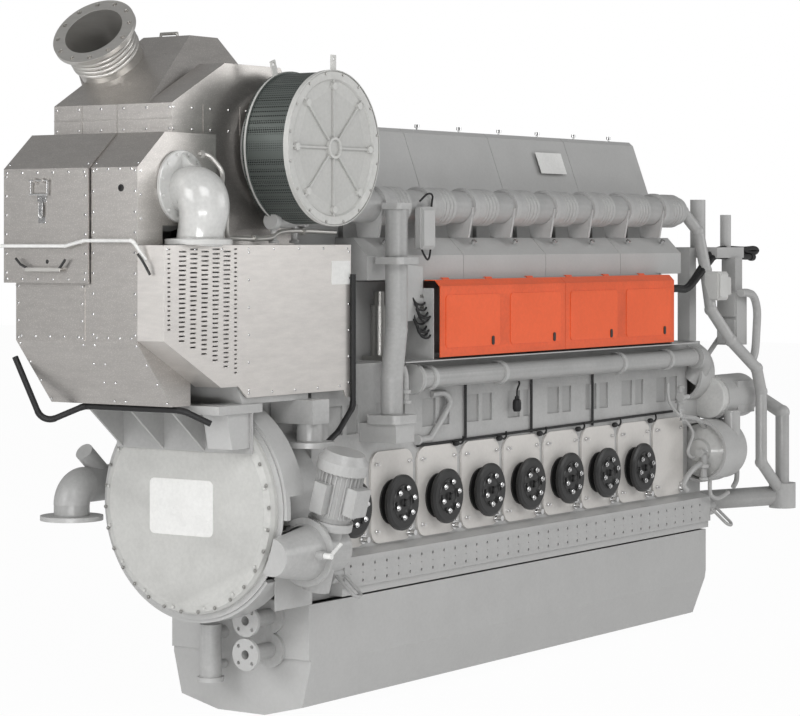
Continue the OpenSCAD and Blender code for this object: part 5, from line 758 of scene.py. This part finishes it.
# Free end: hoses, small pipes, valves, junction box and canister
def free_end_hoses():
    """Two black hoses from the hot box over the free end."""
    b = Build("free_end_hoses", RUBBER, "cable_rubber")
    y = -420
    b.tube([(1430, -415, 1958), (1580, y, 1965), (1690, y, 1962), (1775, y, 2005),
            (1855, y, 2062), (1940, y, 2120), (2020, y, 2165), (2155, y, 2187),
            (2420, y, 2182), (2560, y, 2186), (2600, y, 2172), (2560, y, 2158),
            (2470, y, 2160), (2415, y, 2176)], 15, smooth=5)
    y = -440
    b.tube([(1430, y, 1948), (1540, y, 1955), (1685, y, 1955), (1850, y, 2045),
            (1950, y, 2105), (2015, y, 2138), (2120, y, 2140), (2485, y, 2134)], 18, smooth=5)
    plug = [(0, -20), (22, -20), (24, -8), (24, 18), (16, 26), (0, 26)]
    b.lathe((2485, y, 2134), (1, 0, 0), plug, 16)
    b.done()


def free_end_small_pipes():
    """Bent pipes, the coolant pipe's end bend, and valves with their hand wheels."""
    b = Build("free_end_small_pipes", ENGINE, "engine_paint")
    y = -560
    b.tube([(2110, y, 1925), (2215, y, 1922), (2285, y, 1895), (2325, y, 1815),
            (2318, y, 1700), (2300, y, 1580), (2262, y, 1520)], 24, smooth=6)
    y = -380
    b.tube([(2130, y, 1785), (2215, y, 1775), (2270, y, 1750), (2262, y, 1700),
            (2180, y, 1650), (1930, y, 1480), (1890, y, 1425)], 15, smooth=6)
    y = -440
    b.tube([(1445, y, 1420), (1448, y, 1350), (1475, y, 1300), (1560, y, 1240),
            (1620, y, 1215)], 9, smooth=5)
    b.tube([(1590, y, 1385), (1590, y, 1215)], 14)
    b.tube([(1790, -424, 1555), (1845, -424, 1551), (1888, -412, 1518), (1902, -385, 1470),
            (1888, -345, 1415)], 66, segments=28, smooth=6)
    b.tube([(1620, y, 1215), (1740, y, 1205), (1850, y, 1170), (2060, y, 1045),
            (2230, y, 950), (2290, y, 905), (2295, y, 810), (2250, y, 765)], 15, smooth=6)
    b.tube([(1620, y, 1215), (1700, y, 1165), (1745, y, 1110), (1700, y, 1045),
            (1685, y, 1010), (1715, y, 980), (1770, y, 975)], 9, smooth=6)
    y = -480
    b.tube([(1760, y, 940), (1675, y, 915), (1590, y, 870), (1560, y, 830),
            (1600, y, 800)], 16, smooth=6)
    b.tube([(1880, y, 850), (1880, y, 775), (1905, y, 740), (1990, y, 722),
            (2110, y, 745)], 12, smooth=6)
    for x, y, z, r, h in ((1590, -440, 1300, 30, 90), (1600, -440, 1385, 24, 30),
                          (1620, -440, 1215, 24, 40), (1820, -470, 915, 34, 150),
                          (1930, -470, 905, 34, 140)):
        valve = [(0, 0), (r * 0.8, 0), (r * 0.8, h * 0.1), (r * 0.62, h * 0.12),
                 (r * 0.62, h * 0.45), (r, h * 0.48), (r, h * 0.62), (r * 0.7, h * 0.64),
                 (r * 0.7, h * 0.92), (r * 0.5, h), (0, h)]
        b.lathe((x, y, z - h / 2), UPWARD, valve, 18)
    y = -470
    for x, z in ((1590, 1335), (1820, 1000), (1930, 985)):
        b.lathe((x, y, z), TOWARD_FRONT, [(0, -40), (14, -40), (14, 40), (0, 40)], 12)
        b.lathe((x - 44, y, z), TOWARD_FRONT,
                [(0, 0), (26, 0), (28, 6), (26, 12), (0, 12)], HEAD_SIDES)
    b.done()


def junction_box():
    """Terminal box with its lid screws, and the smooth shell of the filter canister."""
    b = Build("junction_box", CASTING, "engine_paint")
    lid_y = -552
    b.box((1862, -545, 1885), (1985, -448, 2052), bevel=7)
    b.box((1872, lid_y, 1897), (1975, -544, 2040), bevel=3)
    b.box((1985, -532, 1912), (2052, -452, 2020), bevel=5)
    b.done()
    s = Build("junction_screws", BRIGHT, "bright_metal")
    for x in (1880, 1967):
        for z in (1905, 2032):
            s.screw((x, lid_y, z), TOWARD_NEAR, 4, 3)
    s.done()
    c = Build("canister_shell", CASTING, "engine_paint")
    y, z = -400, 1310
    c.lathe((1972, y, z), TOWARD_FRONT, [(0, -350), (112, -350), (124, -340), (126, -12),
                                         (120, -3), (108, 0), (0, 2)], 48)
    c.lathe((2040, y, z), TOWARD_FRONT, [(124, -6), (131, -5), (131, 5), (124, 6)], 48)
    c.done()


# Front face: rail braces, step plate and the elbow's pipe
def step_plate():
    """Small step under the hand rail, and the rail's black braces."""
    b = Build("rail_step", OUTLET, "outlet_steel")
    b.box((-3040, 165, 2104), (-2999, 365, 2112), bevel=2)
    b.box((-3042, 160, 2096), (-3036, 370, 2114), bevel=2)
    b.done()
    d = Build("rail_braces", BLACK, "black_paint")
    d.tube([(-3034, 430, 2154), (-3036, 400, 2128), (-3036, 362, 2112)], 6)
    d.tube([(-3034, 135, 2150), (-3036, 155, 2124), (-3036, 168, 2110)], 6)
    d.tube([(-3036, -285, 2176), (-3030, -312, 2140), (-3012, -335, 2085)], 6, smooth=4)
    d.lathe((-3000, 262, 2140), TOWARD_FRONT, [(11, 0), (11, 10), (6, 14), (0, 14)], 16)
    d.box((-3010, 215, 2126), (-2998, 229, 2152), bevel=2)
    d.done()


def elbow_pipe():
    """Drain pipe from the air elbow along the shield, its unions, and the valve over it."""
    b = Build("elbow_pipe", OUTLET, "outlet_steel")
    b.tube([(-2640, -300, 2622), (-2600, -330, 2612), (-2585, -380, 2560), (-2590, -400, 2520),
            (-2625, -425, 2465), (-2600, -430, 2375), (-2560, -400, 2290), (-2500, -360, 2252),
            (-2400, -330, 2244), (-2165, -330, 2244), (-2035, -330, 2278),
            (-1640, -330, 2272)], 11, smooth=6)
    union = [(0, -9), (19, -9), (19, 9), (0, 9)]
    for at, normal in (((-2625, -308, 2620), (-1, 0.4, 0)), ((-2612, -427, 2430), UPWARD),
                       ((-2270, -330, 2244), TOWARD_FRONT), ((-1900, -330, 2276), TOWARD_FRONT)):
        b.lathe(at, normal, union, HEAD_SIDES)
    b.done()
    v = Build("shield_valve", ENGINE, "engine_paint")
    y = -320
    v.lathe((-2135, y, 2325), (1, 0, 0),
            [(0, 0), (40, 0), (44, 8), (44, 30), (34, 38), (34, 150), (26, 160), (26, 240),
             (34, 244), (34, 262), (20, 268), (20, 350), (0, 350)], 24)
    v.lathe((-2060, y, 2345), UPWARD, [(0, 0), (30, 0), (30, 30), (36, 34), (36, 46), (0, 46)], 20)
    for x in (-2110, -1950):
        v.lathe((x, y, 2222), UPWARD, [(0, 0), (24, 0), (24, 12), (15, 16), (15, 80), (0, 80)], 16)
    v.done()


for make in (rivets, shield_screws, box_seams, box_hole, toggle_latch, top_fittings, filter_trim,
             cover_bolts, relief_bolts, door_plugs, hot_box_wiring, side_pipes, free_end_hoses,
             free_end_small_pipes, junction_box, step_plate, elbow_pipe, cast_elbow, pump_cover):
    make()


# Studio and camera: metres and degrees, with lens and sensor in millimetres
CAMERA_AT = (-11.791, -7.683, 2.238)
CAMERA_YAW = 34.504
CAMERA_REACH = 200.0
LENS, SENSOR = 118.386, 36.0
SHIFT_Y = -0.1479
# Name, place, target, width and height, watts
LIGHTS = (
    ("key", (-9.0, -8.0, 9.0), (0, 0, 1.6), (7.0, 5.0), 520),
    ("side", (6.0, -10.0, 5.0), (0.5, 0, 1.4), (8.0, 5.0), 310),
    ("front", (-13.0, 3.0, 5.0), (-2, 0, 1.6), (6.0, 5.0), 430),
    ("low", (-9.0, -4.5, 0.35), (-2.6, -0.2, 1.6), (5.0, 0.8), 170),
)
WORLD_GREY, WORLD_STRENGTH = 0.80, 0.36
FLOOR_HALF, FLOOR_Z, FLOOR_GREY = 40.0, -0.002, 0.9
# Share of white glow in the floor: to every ray, and how much more to the camera
FLOOR_GLOW, FLOOR_CAMERA_GLOW = 0.31, 0.66


def camera():
    """The photograph's camera, level, with the horizon moved by a shift."""
    data = bpy.data.cameras.new("camera")
    data.lens = LENS
    data.sensor_width = SENSOR
    data.shift_y = SHIFT_Y
    data.clip_end = CAMERA_REACH
    cam = bpy.data.objects.new("camera", data)
    cam.location = CAMERA_AT
    cam.rotation_euler = (math.radians(90), 0, math.radians(CAMERA_YAW - 90))
    bpy.context.scene.collection.objects.link(cam)
    bpy.context.scene.camera = cam


def area(name, at, target, size, power):
    """An area light that points from one place to another."""
    data = bpy.data.lights.new(name, "AREA")
    data.shape = "RECTANGLE"
    data.size, data.size_y = size
    data.energy = power
    light = bpy.data.objects.new(name, data)
    light.location = at
    light.rotation_euler = (Vector(target) - Vector(at)).to_track_quat("-Z", "Y").to_euler()
    bpy.context.scene.collection.objects.link(light)


def mixed_output(tree, kind):
    """Empties a node tree and gives it an output fed by a mix of two shaders."""
    tree.nodes.clear()
    out = tree.nodes.new(kind)
    mix = tree.nodes.new("ShaderNodeMixShader")
    tree.links.new(mix.outputs["Shader"], out.inputs["Surface"])
    return mix, tree.nodes.new("ShaderNodeLightPath").outputs["Is Camera Ray"]


def studio():
    """Soft lights, and a world that is white to the camera and grey to all other rays."""
    for light in LIGHTS:
        area(*light)
    world = bpy.data.worlds.new("studio")
    bpy.context.scene.world = world
    world.use_nodes = True
    tree = world.node_tree
    mix, camera_ray = mixed_output(tree, "ShaderNodeOutputWorld")
    tree.links.new(camera_ray, mix.inputs["Fac"])
    for socket, colour, strength in ((1, grey(WORLD_GREY), WORLD_STRENGTH), (2, grey(1.0), 1.0)):
        glow = tree.nodes.new("ShaderNodeBackground")
        glow.inputs["Color"].default_value = colour
        glow.inputs["Strength"].default_value = strength
        tree.links.new(glow.outputs["Background"], mix.inputs[socket])
    bpy.context.scene.view_settings.view_transform = "Standard"


def floor():
    """A pale floor with a light contact shadow. It glows nearly white to the camera, and about
    a third as bright to all other rays."""
    mesh = bpy.data.meshes.new("studio_floor")
    h = FLOOR_HALF
    mesh.from_pydata([(-h, -h, 0), (h, -h, 0), (h, h, 0), (-h, h, 0)], [], [(0, 1, 2, 3)])
    obj = bpy.data.objects.new("studio_floor", mesh)
    obj.location.z = FLOOR_Z
    bpy.context.scene.collection.objects.link(obj)
    mat = bpy.data.materials.new("studio_floor")
    mat.use_nodes = True
    tree = mat.node_tree
    mix, camera_ray = mixed_output(tree, "ShaderNodeOutputMaterial")
    share = tree.nodes.new("ShaderNodeMath")
    share.operation = "MULTIPLY_ADD"
    share.inputs[1].default_value = FLOOR_CAMERA_GLOW
    share.inputs[2].default_value = FLOOR_GLOW
    tree.links.new(camera_ray, share.inputs[0])
    tree.links.new(share.outputs["Value"], mix.inputs["Fac"])
    matt = tree.nodes.new("ShaderNodeBsdfDiffuse")
    matt.inputs["Color"].default_value = grey(FLOOR_GREY)
    tree.links.new(matt.outputs["BSDF"], mix.inputs[1])
    glow = tree.nodes.new("ShaderNodeEmission")
    glow.inputs["Color"].default_value = grey(1.0)
    glow.inputs["Strength"].default_value = 1.0
    tree.links.new(glow.outputs["Emission"], mix.inputs[2])
    mesh.materials.append(mat)


camera()
studio()
floor()
